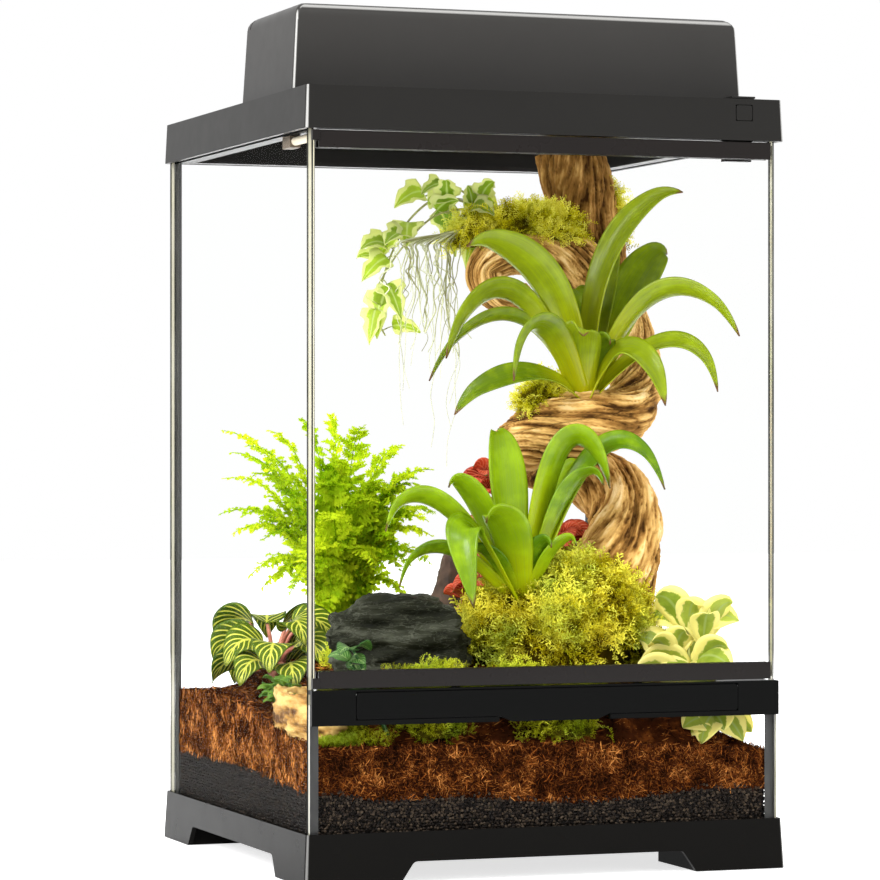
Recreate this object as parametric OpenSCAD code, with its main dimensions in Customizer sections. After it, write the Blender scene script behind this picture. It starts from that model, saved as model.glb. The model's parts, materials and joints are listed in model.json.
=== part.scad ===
// Planted glass terrarium with a front door, a lift-off mesh screen and a lamp hood.
// Millimetres. The origin is the centre of the footprint on the table, the door faces -Y.

/* [Tank] */
// Width over the foot of the base frame
tank_w = 315; // [280:1:420]
// Depth over the foot of the base frame
tank_d = 315; // [280:1:420]
// Height from the table to the rim of the top frame
tank_h = 480; // [420:1:640]

/* [Glass] */
// Thickness of every pane
glass_t = 4; // [3:0.5:5]
// Silicone joint between two panes
bead_t = 1; // [0.6:0.1:1.4]
// Gap between a pane and the plastic round it
pane_gap = 0.3; // [0.2:0.1:0.5]
// Width of the silicone fillet in a corner
fillet_w = 3; // [1:0.5:4]

/* [Frames] */
// Height of the base frame
base_h = 31; // [28:1:45]
// Height of the top frame
top_h = 26; // [24:1:34]
// Wall of both frames at the thin edge
wall = 1.9; // [1.5:0.1:3]
// How far the base frame spreads at the table
base_spread = 1.6; // [0.5:0.1:3]
// How far the top frame spreads at its lower edge
top_spread = 1.1; // [0.5:0.1:3]
// Radius of the frames' upright edges
corner_r = 3; // [1:0.5:5]
// Thickness of webs, ledges and flanges
web_t = 2.5; // [2:0.1:3]
// Height of the arches between the feet
arch_h = 13; // [8:1:16]
// Width of a foot under a side of the frame, at the top of the arch
foot_side = 69.5; // [45:0.5:95]
// Slope of an arch's end, measured along the table
arch_run = 9; // [4:1:14]
// Height of the ledge that carries the panes
ledge_h = 23; // [20:1:26]
// Width of that ledge inside the glass
ledge_w = 24; // [12:1:40]
// How far the panes stand up into the top frame
pane_bite = 14; // [10:1:16]
// Depth of the screen's seat below the rim
screen_drop = 5; // [4:0.5:7]

/* [Door] */
// Gap between the door and the frames
door_gap = 0.9; // [0.6:0.1:1.5]
// How far the door glass stops short of the side of the glass box
door_inset = 3.4; // [3:0.1:5]
// Height of the rails on the door's edges
rail_h = 10.6; // [8:0.2:14]
// How far a rail stands proud of the door glass
rail_proud = 2.2; // [1.5:0.1:2.2]
// Thickness of a rail's web past the glass edge
rail_web = 1.6; // [1:0.1:3]
// Radius of the door's hinge pins
hinge_r = 1; // [0.8:0.05:1.1]
// Running clearance round a pin
pin_gap = 0.08; // [0.05:0.01:0.1]
// Height of the hinge caps
cap_h = 6.4; // [5:0.1:9]

/* [Vent bar] */
// Height of the bar's lower edge
bar_z = 96; // [80:1:120]
// Height of the bar
bar_h = 21.3; // [19:0.1:28]
// Depth of the bar's channel inside the glass
bar_in = 10; // [8:0.5:16]
// Distance of the latch plate's ends from the side of the base frame
plate_side = 32.5; // [28:0.5:90]
// Height of the latch plate
plate_h = 16.2; // [14:0.1:18]
// Thickness of the latch plate
plate_t = 1.9; // [1.6:0.1:2]
// Width of the finger tab at its root
tab_w = 72; // [40:1:90]
// Distance of the tab from the bar's centre
tab_x = 3; // [-20:1:20]
// Radius of the latch plate's pivots
pivot_r = 0.75; // [0.6:0.05:0.8]
// Distance of each catch hook from the bar's centre
hook_x = 60; // [20:1:100]

/* [Screen] */
// Width of the screen's rim
screen_rim = 9; // [7:0.5:14]
// Thickness of the mesh
mesh_t = 0.8; // [0.6:0.1:1.2]
// Gaps along each side of the mesh
mesh_n = 17; // [6:1:17]
// Width of the push button
button_w = 10.6; // [8:0.2:12]
// Height of the push button
button_h = 9.4; // [8:0.2:9.6]
// Distance of the button from the side of the base frame
button_side = 27.5; // [24:0.5:60]
// Travel of the push button
button_travel = 2.5; // [1:0.5:3]
// Width of a cable inlet
inlet_w = 22; // [12:1:24]
// Distance of each cable inlet from the side of the base frame
inlet_side = 52.5; // [40:0.5:80]

/* [Hood] */
// Height of the hood
hood_h = 55; // [45:1:80]
// Depth of the hood over its foot
hood_d = 108; // [90:1:130]
// How far the hood's side stands inside the rim of the frame
hood_inset = 6.2; // [2:0.1:12]
// How far each end of the hood leans in
hood_draft = 2.8; // [0:0.1:5]
// Wall of the hood
hood_wall = 2.2; // [1.5:0.1:3]
// Radius of the hood's upper edges
hood_r = 8; // [4:0.5:12]
// Radius of a lamp's glass
lamp_r = 19; // [12:0.5:20]
// Length of a lamp's glass
lamp_len = 84; // [50:1:86]
// Radius of the bore for the lamps' lead
lead_r = 3.4; // [2.5:0.1:5]

/* [Ground] */
// Height of the drainage layer above the bottom glass
drain_h = 24; // [15:1:35]
// Height of the soil's plateau above the bottom glass
soil_h = 97; // [80:1:120]
// Height of the soil at the back and side glass
soil_edge_h = 73; // [50:1:80]
// Height of the soil at the front glass
soil_front_h = 55; // [45:1:60]
// Length of the slate
slate_l = 100; // [60:1:110]
// Height of the slate
slate_h = 50; // [30:1:60]
// Radius of the liana's trunk
trunk_r = 28; // [20:1:29]

/* [Hidden] */
$fn = 48;

plastic = "#3a3936";
rail_black = "#2b2625";
pane = [0.80, 0.92, 0.86, 0.3];
leaf_green = "#6f9a1c";
moss_green = "#9aa62c";
wood_brown = "#8a6a4a";

// Small lap that lets two solids of one piece share more than a face
lap = 0.6;
// Gap between two pieces that rest on each other across a joint
rest = 0.3;

half_w = tank_w / 2;
half_d = tank_d / 2;
// Outside of the glass box
glass_w = half_w - base_spread - wall - pane_gap;
glass_d = half_d - base_spread - wall - pane_gap;
// Inside of the glass box
in_w = glass_w - glass_t;
in_d = glass_d - glass_t;
// Inner face of the frames' outer walls
bay_w = glass_w + pane_gap;
bay_d = glass_d + pane_gap;
rim_w = bay_w + wall;
rim_d = bay_d + wall;
arch_half_w = half_w - foot_side;
arch_half_d = half_d - foot_side;
button_x = half_w - button_side;
inlet_x = half_w - inlet_side;

frame_z = tank_h - top_h;
pane_top = frame_z + pane_bite;
floor_z = ledge_h + glass_t;
bar_top = bar_z + bar_h;
plate_w = 2 * (half_w - plate_side);
deck_z = tank_h - web_t;
screen_z = tank_h - screen_drop;
// Inner wall of the top frame, its flange and its screen seat
inner_w = in_w - rest;
inner_d = in_d - rest;
flange_in = 10;
deck_in = 5.4;
seat_in = 9.4;
wall_in = 2.2;

// Base primitives

// Block centred on the Z axis between two heights
module slab(w, d, z0, z1) {
    translate([-w / 2, -d / 2, z0])
        cube([w, d, z1 - z0]);
}

// Box between two corners
module box(a, b) {
    translate(a)
        cube(b - a);
}

// Rectangular ring between two heights, given by its half sizes
module ring(ow, od, iw, id, z0, z1) {
    difference() {
        slab(2 * ow, 2 * od, z0, z1);
        slab(2 * iw, 2 * id, z0 - 1, z1 + 1);
    }
}

module rounded(w, d, r) {
    offset(r = r, $fn = 24)
        square([w - 2 * r, d - 2 * r], center = true);
}

// Block with round upright edges that narrows from w0 by d0 to w1 by d1
module tapered(w0, d0, w1, d1, h, r) {
    linear_extrude(height = h, scale = [w1 / w0, d1 / d0])
        rounded(w0, d0, r);
}

// The same module on the left and on the right
module both_sides() {
    for (s = [-1, 1])
        scale([s, 1, 1])
            children();
}

module rod(r, a, b) {
    v = b - a;
    translate(a)
        rotate([0, acos(v.z / norm(v)), atan2(v.y, v.x)])
            cylinder(r = r, h = norm(v));
}

// Curves, skins, tubes and leaves

function unit(v) = v / norm(v);
function mix(a, b, t) = a + (b - a) * t;
function ease(t) = let(u = min(max(t, 0), 1)) u * u * (3 - 2 * u);
function hash(n) = let(s = sin(n * 12.9898 * 57.2958) * 43758.5453) s - floor(s);

// Point at t on the arc from a to b that passes through via halfway
function bow(a, via, b, t) =
    let(c = 2 * via - (a + b) / 2) pow(1 - t, 2) * a + 2 * t * (1 - t) * c + t * t * b;

// Smooth route through all the points, with k steps between two of them
function at_end(p, i) = p[min(max(i, 0), len(p) - 1)];
function route(p, k) = [
    for (i = [0:len(p) - 2], s = [0:k - (i < len(p) - 2 ? 1 : 0)])
        let(t = s / k, a = at_end(p, i - 1), b = p[i], c = p[i + 1], d = at_end(p, i + 2))
            0.5 * (2 * b + (c - a) * t + (2 * a - 5 * b + 4 * c - d) * t * t
                + (3 * b - a - 3 * c + d) * t * t * t)
];

function tangent(p, i) = unit(at_end(p, i + 1) - at_end(p, i - 1));
// Normals carried along a route without twist
function square_to(n, t) = unit(n - (n * t) * t);
function normals(p, start) = [
    for (i = 0, n = square_to(start, tangent(p, 0)); i < len(p);
        i = i + 1, n = square_to(n, tangent(p, min(i, len(p) - 1)))) n
];

// Solid through a list of rings with equal counts of points
module skin(rings) {
    n = len(rings[0]);
    m = len(rings);
    sides = [
        for (i = [0:m - 2], j = [0:n - 1], f = [0, 1])
            let(a = i * n + j, b = i * n + (j + 1) % n, c = b + n, d = a + n)
                f == 0 ? [a, c, b] : [a, d, c]
    ];
    start = [for (j = [0:n - 1]) j];
    end = [for (j = [n - 1:-1:0]) (m - 1) * n + j];
    polyhedron([for (r = rings) each r], concat([start], sides, [end]), convexity = 8);
}

// Tube along a route, with one radius per point. With grooves, every third point stands out as
// the ridge of a strand, and the strands wind on by turn degrees per step.
module tube(p, r, n, start = [0.31, 0.17, 0.93], groove = 0, turn = 0) {
    nm = normals(p, start);
    skin([
        for (i = [0:len(p) - 1])
            let(u = nm[i], v = cross(tangent(p, i), u))
                [
                    for (j = [0:n - 1])
                        let(a = 360 * j / n + turn * i, in = j % 3 == 0 ? 0 : groove)
                            p[i] + r[i] * (1 - in) * (cos(a) * u + sin(a) * v)
                ]
    ]);
}

// Thin runner, stem or strand
module strand(p, r, k = 4, n = 4) {
    q = route(p, k);
    tube(q, [for (i = [0:len(q) - 1]) r * (1 - 0.5 * i / len(q))], n);
}

// Widths along a leaf from its base to its tip
function strap(t) = min(1, 0.7 + 1.2 * t) * pow(1 - pow(t, 3), 0.7) + 0.05;
function oval(t) = pow(sin(180 * min(0.06 + 0.93 * t, 0.99)), 0.8) + 0.03;

// Leaf from a to b through via, widest w, folded up along its middle
module leaf(a, via, b, w, strappy = false, n = 6, thick = 1.2, fold = 0.18) {
    along = unit([b.x - a.x, b.y - a.y, 0.001]);
    side = [-along.y, along.x, 0];
    p = [for (i = [0:n]) bow(a, via, b, i / n)];
    skin([
        for (i = [0:n])
            let(t = i / n, s = w / 2 * (strappy ? strap(t) : oval(t)), up = cross(tangent(p, i), side))
                [
                    p[i] + s * side + fold * s * up,
                    p[i] + thick / 2 * up,
                    p[i] - s * side + fold * s * up,
                    p[i] - thick / 2 * up
                ]
    ]);
}

// Leaf of length l that leaves a point at an azimuth and a slope, and droops
module leaf_at(a, az, slope, l, w, droop = 0.35) {
    out = [cos(az) * cos(slope), sin(az) * cos(slope), sin(slope)];
    leaf(a, a + 0.5 * l * out + [0, 0, 0.1 * l], a + l * out - [0, 0, droop * l], w, n = 3);
}

// The planting is drawn for a tank 300 mm square inside with 330 mm of air.
// These carry a drawn place, or a drawn length, to the tank in hand.
soil_z = floor_z + soil_h;
air_h = frame_z - soil_z;
stretch = [in_w / 150, in_d / 150, air_h / 330];
grow = min(stretch.x, stretch.y, stretch.z);
function place(p) = [p.x * stretch.x, p.y * stretch.y, soil_z + (p.z - 124) * stretch.z];
function on_soil(x, y) = [x * stretch.x, y * stretch.y, ground([x * stretch.x, y * stretch.y])];

// Smooth lie of the soil: a plateau that falls away to the glass
function lie(x, y) =
    let(
        edge = mix(soil_front_h, soil_edge_h, ease((y / in_d + 1) / 1.3)),
        rise = ease((in_w - abs(x) - 20) / 32) * ease((y + in_d - 6) / 32) * ease((in_d - y) / 60)
    )
        floor_z + mix(edge - (x > 0 ? 8 * x / in_w : 0), soil_h, rise);
function drain_lie(x, y) =
    floor_z + drain_h + 3 * sin(1.9 * x + 40) * cos(1.3 * y) + 5 * ease(y / in_d) - 1;

// The layers are grids of this many squares
grid = 18;
soil_w = in_w - rest;
soil_d = in_d - rest;
function grid_x(i) = mix(-soil_w, soil_w, i / grid);
function grid_y(j) = mix(-soil_d, soil_d, j / grid);

// Height of the soil's facets at a place
function ground(p) =
    let(
        u = min(max((p.x / soil_w + 1) / 2 * grid, 0), grid - 0.001),
        v = min(max((p.y / soil_d + 1) / 2 * grid, 0), grid - 0.001),
        i = floor(u),
        j = floor(v),
        a = u - i,
        b = v - j,
        h00 = lie(grid_x(i), grid_y(j)),
        h11 = lie(grid_x(i + 1), grid_y(j + 1)),
        h10 = lie(grid_x(i + 1), grid_y(j)),
        h01 = lie(grid_x(i), grid_y(j + 1))
    )
        a > b ? h00 + a * (h10 - h00) + b * (h11 - h10) : h00 + b * (h01 - h00) + a * (h11 - h01);

// Plants and wood that stand in a pocket of the soil: place, radius and depth
WOOD_FOOT = [74, -44, 25.5, 40];
VEINED_FOOT = [-112, 52, 9, 20];
PEPEROMIA_FOOT = [112, -116, 8, 18];
DARK_FOOT = [-98, -136, 4, 12];
CREEPER_FOOT = [-130, -18, 4, 12];
FERN_FOOT = [-58, 78, 11, 22];
FEET = [WOOD_FOOT, VEINED_FOOT, PEPEROMIA_FOOT, DARK_FOOT, CREEPER_FOOT, FERN_FOOT];
DISH_SPOT = [-118, -88];
dish_size = [27, 44, 30];

module foot_ball(f, gap = 0) {
    p = on_soil(f.x, f.y);
    translate([p.x, p.y, p.z - f[3] * grow - gap])
        cylinder(r = f.z * grow + gap, h = f[3] * grow + 1 + gap * 20, $fn = 24);
}

// Base frame: sloping outer wall, ledge for the panes and four hollow feet
module base_frame() color(plastic) {
    foot_w = arch_half_w + arch_run;
    foot_d = arch_half_d + arch_run;
    under = ledge_h - web_t;
    sole = 3;
    difference() {
        union() {
            difference() {
                tapered(2 * half_w, 2 * half_d, 2 * rim_w, 2 * rim_d, base_h, corner_r);
                slab(2 * bay_w, 2 * bay_d, -1, base_h + 1);
            }
            ring(bay_w + lap, bay_d + lap, in_w - ledge_w, in_d - ledge_w, under, ledge_h);
            ring(in_w - ledge_w + web_t, in_d - ledge_w + web_t, in_w - ledge_w, in_d - ledge_w,
                arch_h, ledge_h);
            for (sx = [-1, 1], sy = [-1, 1])
                scale([sx, sy, 1]) {
                    box([foot_w, foot_d, 0], [bay_w + lap, bay_d + lap, sole]);
                    box([foot_w, foot_d, 0], [foot_w + web_t, bay_d + lap, arch_h]);
                    box([foot_w, foot_d, 0], [bay_w + lap, foot_d + web_t, arch_h]);
                }
        }
        for (s = [0, 180])
            rotate([0, 0, s])
                arch_cut(arch_half_w, bay_d, half_d);
        for (s = [90, 270])
            rotate([0, 0, s])
                arch_cut(arch_half_d, bay_w, half_w);
    }
}

// Arch between two feet, cut through the wall at the front of the side
module arch_cut(half, inner, outer) {
    translate([0, -inner, 0])
        rotate([90, 0, 0])
            linear_extrude(outer - inner + 1)
                offset(r = -4, $fn = 24)
                    offset(r = 4, $fn = 24)
                        offset(r = 4, $fn = 24)
                            offset(r = -4, $fn = 24)
                                polygon([
                                    [-half - arch_run, -10], [-half - arch_run, 0], [-half, arch_h],
                                    [half, arch_h], [half + arch_run, 0], [half + arch_run, -10]
                                ]);
}

module bottom_glass() color(pane)
    slab(2 * (in_w - bead_t / 2), 2 * (in_d - bead_t / 2), ledge_h, floor_z);

// Side panes run from the door to the outside of the back pane
side_front = -in_d + bead_t;
module side_glass()
    box([in_w, side_front, ledge_h], [glass_w, glass_d, pane_top]);

module left_glass() color(pane)
    mirror([1, 0, 0])
        side_glass();

module right_glass() color(pane)
    side_glass();

module back_glass() color(pane)
    box([-in_w + bead_t / 2, in_d, ledge_h], [in_w - bead_t / 2, glass_d, pane_top]);

// The lower front pane covers the front edges of the side panes
lower_top = bar_z + 12.6;
module front_lower_glass() color(pane)
    box([-glass_w + bead_t / 2, -glass_d, ledge_h], [glass_w - bead_t / 2, -in_d, lower_top]);

module silicone_seals() color([0.12, 0.12, 0.12]) {
    // Upright beads at the lower front pane
    both_sides()
        translate([0, 0, floor_z])
            linear_extrude(lower_top - floor_z - 3)
                polygon([
                    [glass_w - bead_t / 2, -in_d], [in_w - fillet_w, -in_d],
                    [in_w, -in_d + fillet_w], [in_w, side_front], [glass_w - bead_t / 2, side_front]
                ]);
    // Upright beads at the back pane
    both_sides() {
        translate([0, 0, floor_z])
            linear_extrude(frame_z - floor_z - rest)
                polygon([[in_w - fillet_w, in_d], [in_w, in_d - fillet_w], [in_w, in_d]]);
        box([in_w - bead_t / 2, in_d, floor_z], [in_w, glass_d, pane_top - 1]);
    }
    // Bead round the bottom pane
    ring(in_w, in_d, in_w - bead_t / 2, in_d - bead_t / 2, ledge_h, floor_z);
}

// Door hinge axis, just in front of the door glass
hinge_x = -(glass_w - door_inset + 0.1);
hinge_y = -(glass_d + 1.2);
pin_bite = 7;

button_z = tank_h - 8.8;
spring_y = -bay_d + 1.6;
housing_y = -in_d + 2.8;
housing_w = 18;

module top_frame() color(plastic) {
    tip = [hinge_x, hinge_y, frame_z];
    difference() {
        union() {
            difference() {
                translate([0, 0, frame_z])
                    tapered(2 * (rim_w + top_spread), 2 * (rim_d + top_spread),
                        2 * rim_w, 2 * rim_d, top_h, corner_r);
                slab(2 * bay_w, 2 * bay_d, frame_z - 1, deck_z);
                slab(2 * (in_w - deck_in), 2 * (in_d - deck_in), deck_z - 1, tank_h + 1);
            }
            // Web that stops the panes
            ring(bay_w + lap, bay_d + lap, inner_w - lap, inner_d - lap, pane_top, pane_top + 2);
            // Inner wall with its lower flange and the seat of the screen
            ring(inner_w, inner_d, inner_w - wall_in, inner_d - wall_in, frame_z, deck_z + lap);
            ring(inner_w, inner_d, in_w - flange_in, in_d - flange_in, frame_z, frame_z + web_t);
            ring(inner_w - lap, inner_d - lap, in_w - seat_in, in_d - seat_in,
                screen_z - web_t, screen_z);
            // Boss of the upper hinge pin
            box([tip.x - hinge_r - 1.2, -bay_d - lap, frame_z],
                [tip.x + hinge_r + 1.2, tip.y + hinge_r + 1.1, frame_z + pin_bite + 2]);
        }
        // Bore of the upper hinge pin
        translate(tip - [0, 0, 1])
            cylinder(r = hinge_r + pin_gap, h = pin_bite + 1.5);
        // Hole and bay of the push button
        translate([button_x, 0, button_z]) {
            box([-button_w / 2 - 0.5, -half_d - 1, -button_h / 2 - 0.4],
                [button_w / 2 + 0.5, -bay_d + lap, button_h / 2 + 0.4]);
            box([-housing_w / 2 - rest, -bay_d, -9], [housing_w / 2 + rest, housing_y + 6, 5.6]);
        }
        // Notch of the button's housing in the flange
        box([button_x - housing_w / 2 - rest, -inner_d - 1, frame_z - 1],
            [button_x + housing_w / 2 + rest, housing_y + 7, frame_z + web_t + 1]);
        // Cable inlets through both walls, and the slots of their slides
        both_sides() {
            box([inlet_x - inlet_w / 2, in_d - seat_in - 1, pane_top + 2.2],
                [inlet_x + inlet_w / 2, half_d, deck_z - 0.6]);
            box([inlet_x - inlet_w - 8, bay_d - lap, pane_top + 4.2],
                [inlet_x + 4, half_d, pane_top + 7.2]);
        }
    }
}

// Bracket under the left rim, near the front corner, and its pin
bracket_at = [-in_w + 5, -in_d + 60, frame_z];
module corner_bracket() color("#6b6152")
    box(bracket_at - [3.5, 8, 7.5], bracket_at + [3.5, 8, 0]);

module bracket_pin() color("#d8cfba")
    rod(2.6, bracket_at + [0, -8, -3.6], bracket_at + [0, -40, -3.6]);

// Vent bar with the channel behind the door's sill
plate_y = -(glass_d + 3.7);
plate_z0 = bar_z + 3.4;
pivot = [plate_w / 2, plate_y + plate_t - 0.2, plate_z0 + plate_h - 1.4];
pivot_len = 4;
chamber_z = lower_top + 0.6;

module vent_bar() color(plastic) {
    front = -(glass_d + 3.5);
    bar_w = glass_w - 0.5;
    inner = -in_d + bar_in;
    well_y = -(glass_d + 1);
    difference() {
        union() {
            box([-bar_w, front, bar_z], [bar_w, -glass_d - 0.2, bar_top]);
            box([-bar_w, front, bar_top - web_t], [bar_w, -in_d, bar_top]);
            box([-in_w + rest, -in_d - lap, bar_top - web_t], [in_w - rest, inner, bar_top]);
            box([-in_w + rest, inner - web_t, bar_z + 1], [in_w - rest, inner, bar_top]);
            // Rib behind the lower pane
            box([-in_w + fillet_w + rest, -in_d + rest, bar_z + 4],
                [in_w - fillet_w - rest, -in_d + 1.8, bar_top]);
        }
        // Well of the latch plate, and the way in for a finger
        box([-plate_w / 2 - 0.4, front - 1, plate_z0 - 0.4],
            [plate_w / 2 + 0.4, well_y, plate_z0 + plate_h + 0.6]);
        translate([tab_x, 0, 0])
            box([-tab_w / 2 - 0.5, front - 1, bar_z - 1], [tab_w / 2 + 0.5, -glass_d, plate_z0]);
        // Bores of the latch pivots
        both_sides()
            translate([pivot.x - 1, pivot.y, pivot.z])
                rotate([0, 90, 0])
                    cylinder(r = pivot_r + pin_gap, h = pivot_len + 2);
        // Windows and slots of the catch hooks
        both_sides()
            translate([hook_x, 0, 0]) {
                box([-3.6, well_y - 1, lower_top + 0.4], [3.6, -in_d, bar_top - web_t]);
                box([-3.6, -glass_d + 0.6, lower_top], [3.6, -in_d + 1.2, bar_top + 1]);
            }
        // Air slots into the tank
        for (i = [-9:9])
            translate([i * (in_w - 16) / 9.5, inner - web_t - 1, bar_z + 6])
                cube([8, web_t + 2, 8]);
        // Bore of the lower hinge pin
        translate([hinge_x, hinge_y, bar_top - pin_bite])
            cylinder(r = hinge_r + pin_gap, h = pin_bite + 1);
    }
}

// Perforated strip behind the air slots
module vent_grille() color("silver")
    translate([0, -in_d + bar_in, 0])
        rotate([90, 0, 0])
            mirror([0, 0, 1])
                linear_extrude(0.8)
                    difference() {
                        translate([-in_w + 6, bar_z + 4])
                            square([2 * in_w - 12, 12]);
                        for (i = [-44:44])
                            translate([i * (in_w - 12) / 45 - 0.9, bar_z + 6])
                                square([1.8, 8]);
                    }

module latch_plate() color(plastic) {
    difference() {
        union() {
            translate([0, plate_y + plate_t, plate_z0 + plate_h / 2])
                rotate([90, 0, 0])
                    linear_extrude(plate_t)
                        rounded(plate_w, plate_h, 2);
            // Finger tab
            translate([tab_x, plate_y + plate_t, 0])
                rotate([90, 0, 0])
                    linear_extrude(plate_t)
                        polygon([
                            [-tab_w / 2, plate_z0 + lap], [tab_w / 2, plate_z0 + lap],
                            [tab_w / 2, plate_z0], [tab_w / 2 - 8, bar_z], [8 - tab_w / 2, bar_z],
                            [-tab_w / 2, plate_z0]
                        ]);
            // Catch hooks that reach up behind the door's lower rail
            both_sides()
                translate([hook_x - 2.5, 0, 0]) {
                    box([0, plate_y + plate_t - lap, lower_top + 3.4], [5, -in_d - 0.8, lower_top + 5]);
                    box([0, -in_d - 2.4, lower_top + 3.4], [5, -in_d - 0.8, bar_top + 0.5]);
                }
        }
        both_sides()
            translate([pivot.x - pivot_len, pivot.y, pivot.z])
                rotate([0, 90, 0])
                    cylinder(r = pivot_r, h = pivot_len + 1);
    }
}

module latch_pivots() color("silver")
    both_sides()
        rod(pivot_r, pivot - [pivot_len, 0, 0], pivot + [pivot_len, 0, 0]);

// Flat springs in the well behind the plate
module latch_springs() color("silver")
    for (s = [-1, 1])
        box([s * 92 - 4, -(glass_d + 1.3), plate_z0 + 1], [s * 92 + 4, -(glass_d + 1), pivot.z - 3]);

rail_w = in_w - 1.5;
rail_top = frame_z - door_gap;
rail_bottom = bar_top + door_gap;

module door_glass() color(pane)
    box([-glass_w + door_inset, -glass_d, rail_bottom + rail_web],
        [glass_w - door_inset, -in_d, rail_top - rail_web]);

// Channel that clamps the edge of the door glass
module rail(z0, z1) {
    difference() {
        box([-rail_w, -glass_d - rail_proud, z0], [rail_w, -in_d + rail_proud, z1]);
        box([-rail_w - 1, -glass_d, z0 - 1 + (z0 > bar_top + 50 ? 0 : 1 + rail_web)],
            [rail_w + 1, -in_d, z1 + 1 - (z0 > bar_top + 50 ? 1 + rail_web : 0)]);
    }
}

module door_top_rail() color(rail_black)
    rail(rail_top - rail_h, rail_top);

module door_bottom_rail() color(rail_black)
    rail(rail_bottom, rail_bottom + rail_h);

cap_out = 2.2;
module hinge_caps() color("#1f1d1c")
    for (z = [rail_top - cap_h, rail_bottom])
        difference() {
            box([hinge_x - cap_out, -glass_d - 3.1, z], [-rail_w, -glass_d, z + cap_h]);
            translate([hinge_x, hinge_y, z - 1])
                cylinder(r = hinge_r, h = cap_h + 2);
        }

module hinge_pins() color("silver") {
    for (z = [rail_top - cap_h + 1, bar_top + 0.6 - pin_bite])
        translate([hinge_x, hinge_y, z])
            cylinder(r = hinge_r, h = cap_h + pin_bite - 1);
}

// Push button that frees the screen, with its spring and its housing
module latch_button() color(plastic) {
    face_y = -(rim_d + top_spread * (tank_h - button_z) / top_h) - 0.2;
    stem_r = 3;
    translate([button_x, 0, button_z]) {
        translate([0, face_y, 0])
            rotate([-90, 0, 0])
                linear_extrude(-bay_d + lap - face_y)
                    rounded(button_w, button_h, 1.2);
        box([-button_w / 2 - 1.2, -bay_d + 0.2, -button_h / 2 - 0.8],
            [button_w / 2 + 1.2, spring_y, button_h / 2 + 0.8]);
        rod(stem_r, [0, -bay_d + 0.4, 0], [0, housing_y + 1.5, 0]);
    }
}

// Coil between the button's flange and the housing, one unbroken tube
module button_spring() color("silver") {
    coil_r = 4.3;
    wire = 0.35;
    // As many turns as still have room when the button is fully in
    turns = floor((housing_y - spring_y - button_travel) / (2 * wire)) - 1;
    y0 = spring_y + 0.45;
    y1 = housing_y - 0.45;
    q = [
        for (i = [0:turns * 8])
            [
                button_x + coil_r * cos(45 * i), mix(y0, y1, i / (turns * 8)),
                button_z + coil_r * sin(45 * i)
            ]
    ];
    tube(q, [for (p = q) wire], 6, [0.02, 1, 0.02]);
}

module button_housing() color("#24211f") {
    top = screen_z - web_t - button_z;
    translate([button_x, 0, button_z])
        difference() {
            box([-housing_w / 2, housing_y, bar_free_drop()], [housing_w / 2, housing_y + 6, top]);
            box([-housing_w / 2 + 2, housing_y + 1.8, -button_h / 2 - 14],
                [housing_w / 2 - 2, housing_y + 7, top + 1]);
            rotate([-90, 0, 0])
                translate([0, 0, housing_y - 1])
                    cylinder(r = 3 + pin_gap, h = 4);
        }
}
// Lower end of the housing, which shows just under the door's top rail
function bar_free_drop() = frame_z - door_gap - rail_h - 1 - button_z;

// Lift-off screen
screen_w = in_w - deck_in - 0.5;
screen_d = in_d - deck_in - 0.5;
mesh_z = screen_z + 1.6;
module screen_frame() color(plastic) {
    difference() {
        ring(screen_w, screen_d, screen_w - screen_rim, screen_d - screen_rim,
            screen_z + rest, tank_h);
        slab(2 * (screen_w - screen_rim + 2), 2 * (screen_d - screen_rim + 2),
            mesh_z, mesh_z + mesh_t);
    }
    // Tongue over the rim above the button
    box([button_x - 8, -rim_d + 0.6, tank_h + rest], [button_x + 8, -screen_d + 4, tank_h + 1.6]);
    box([button_x - 8, -screen_d, tank_h - lap], [button_x + 8, -screen_d + 4, tank_h + 1.6]);
}

// Net of wires, mesh_n gaps along each side
module screen_mesh() color("#202020") {
    mw = screen_w - screen_rim + 1.9;
    md = screen_d - screen_rim + 1.9;
    translate([0, 0, mesh_z])
        linear_extrude(mesh_t)
            difference() {
                square([2 * mw, 2 * md], center = true);
                for (i = [0:mesh_n - 1], j = [0:mesh_n - 1])
                    translate([mix(-mw, mw, (i + 0.5) / mesh_n), mix(-md, md, (j + 0.5) / mesh_n)])
                        square([2 * mw / mesh_n - mesh_t, 2 * md / mesh_n - mesh_t], center = true);
            }
}

// Slides that close the cable inlets, drawn open
slide_y = inner_d + 0.7;
module cable_slide() {
    z0 = pane_top + 2.3;
    z1 = deck_z - 0.3;
    x0 = inlet_x - 1.5 * inlet_w - 1.5;
    box([x0, slide_y, z0], [x0 + inlet_w + 1, slide_y + 2, z1]);
    box([x0 + inlet_w / 2 - 2, slide_y, pane_top + 4.5],
        [x0 + inlet_w / 2 + 3, rim_d + 0.8, pane_top + 6.9]);
}

module cable_slide_left() color("#454441")
    mirror([1, 0, 0])
        cable_slide();

module cable_slide_right() color("#454441")
    cable_slide();

// Lamp hood
hood_w = 2 * (rim_w - hood_inset);
hood_z = tank_h + rest;
hood_y = -hood_d / 2;

// Block with small upright edges and large upper edges, as one hull of level slices
module pillow(w, d, h, lean, r, upright) {
    steps = 5;
    hull() {
        linear_extrude(0.01)
            rounded(w, d, upright);
        for (i = [0:steps])
            let(a = 90 * i / steps, in = 2 * lean + 2 * r * (1 - cos(a)))
                translate([0, 0, h - r + r * sin(a) - 0.01])
                    linear_extrude(0.01)
                        rounded(w - in, d - in / 2 - r * (1 - cos(a)), upright);
    }
}

hood_split = hood_z + hood_h - hood_r - 3;
hood_rear = hood_y + hood_d / 2 - hood_wall - 1;

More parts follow.
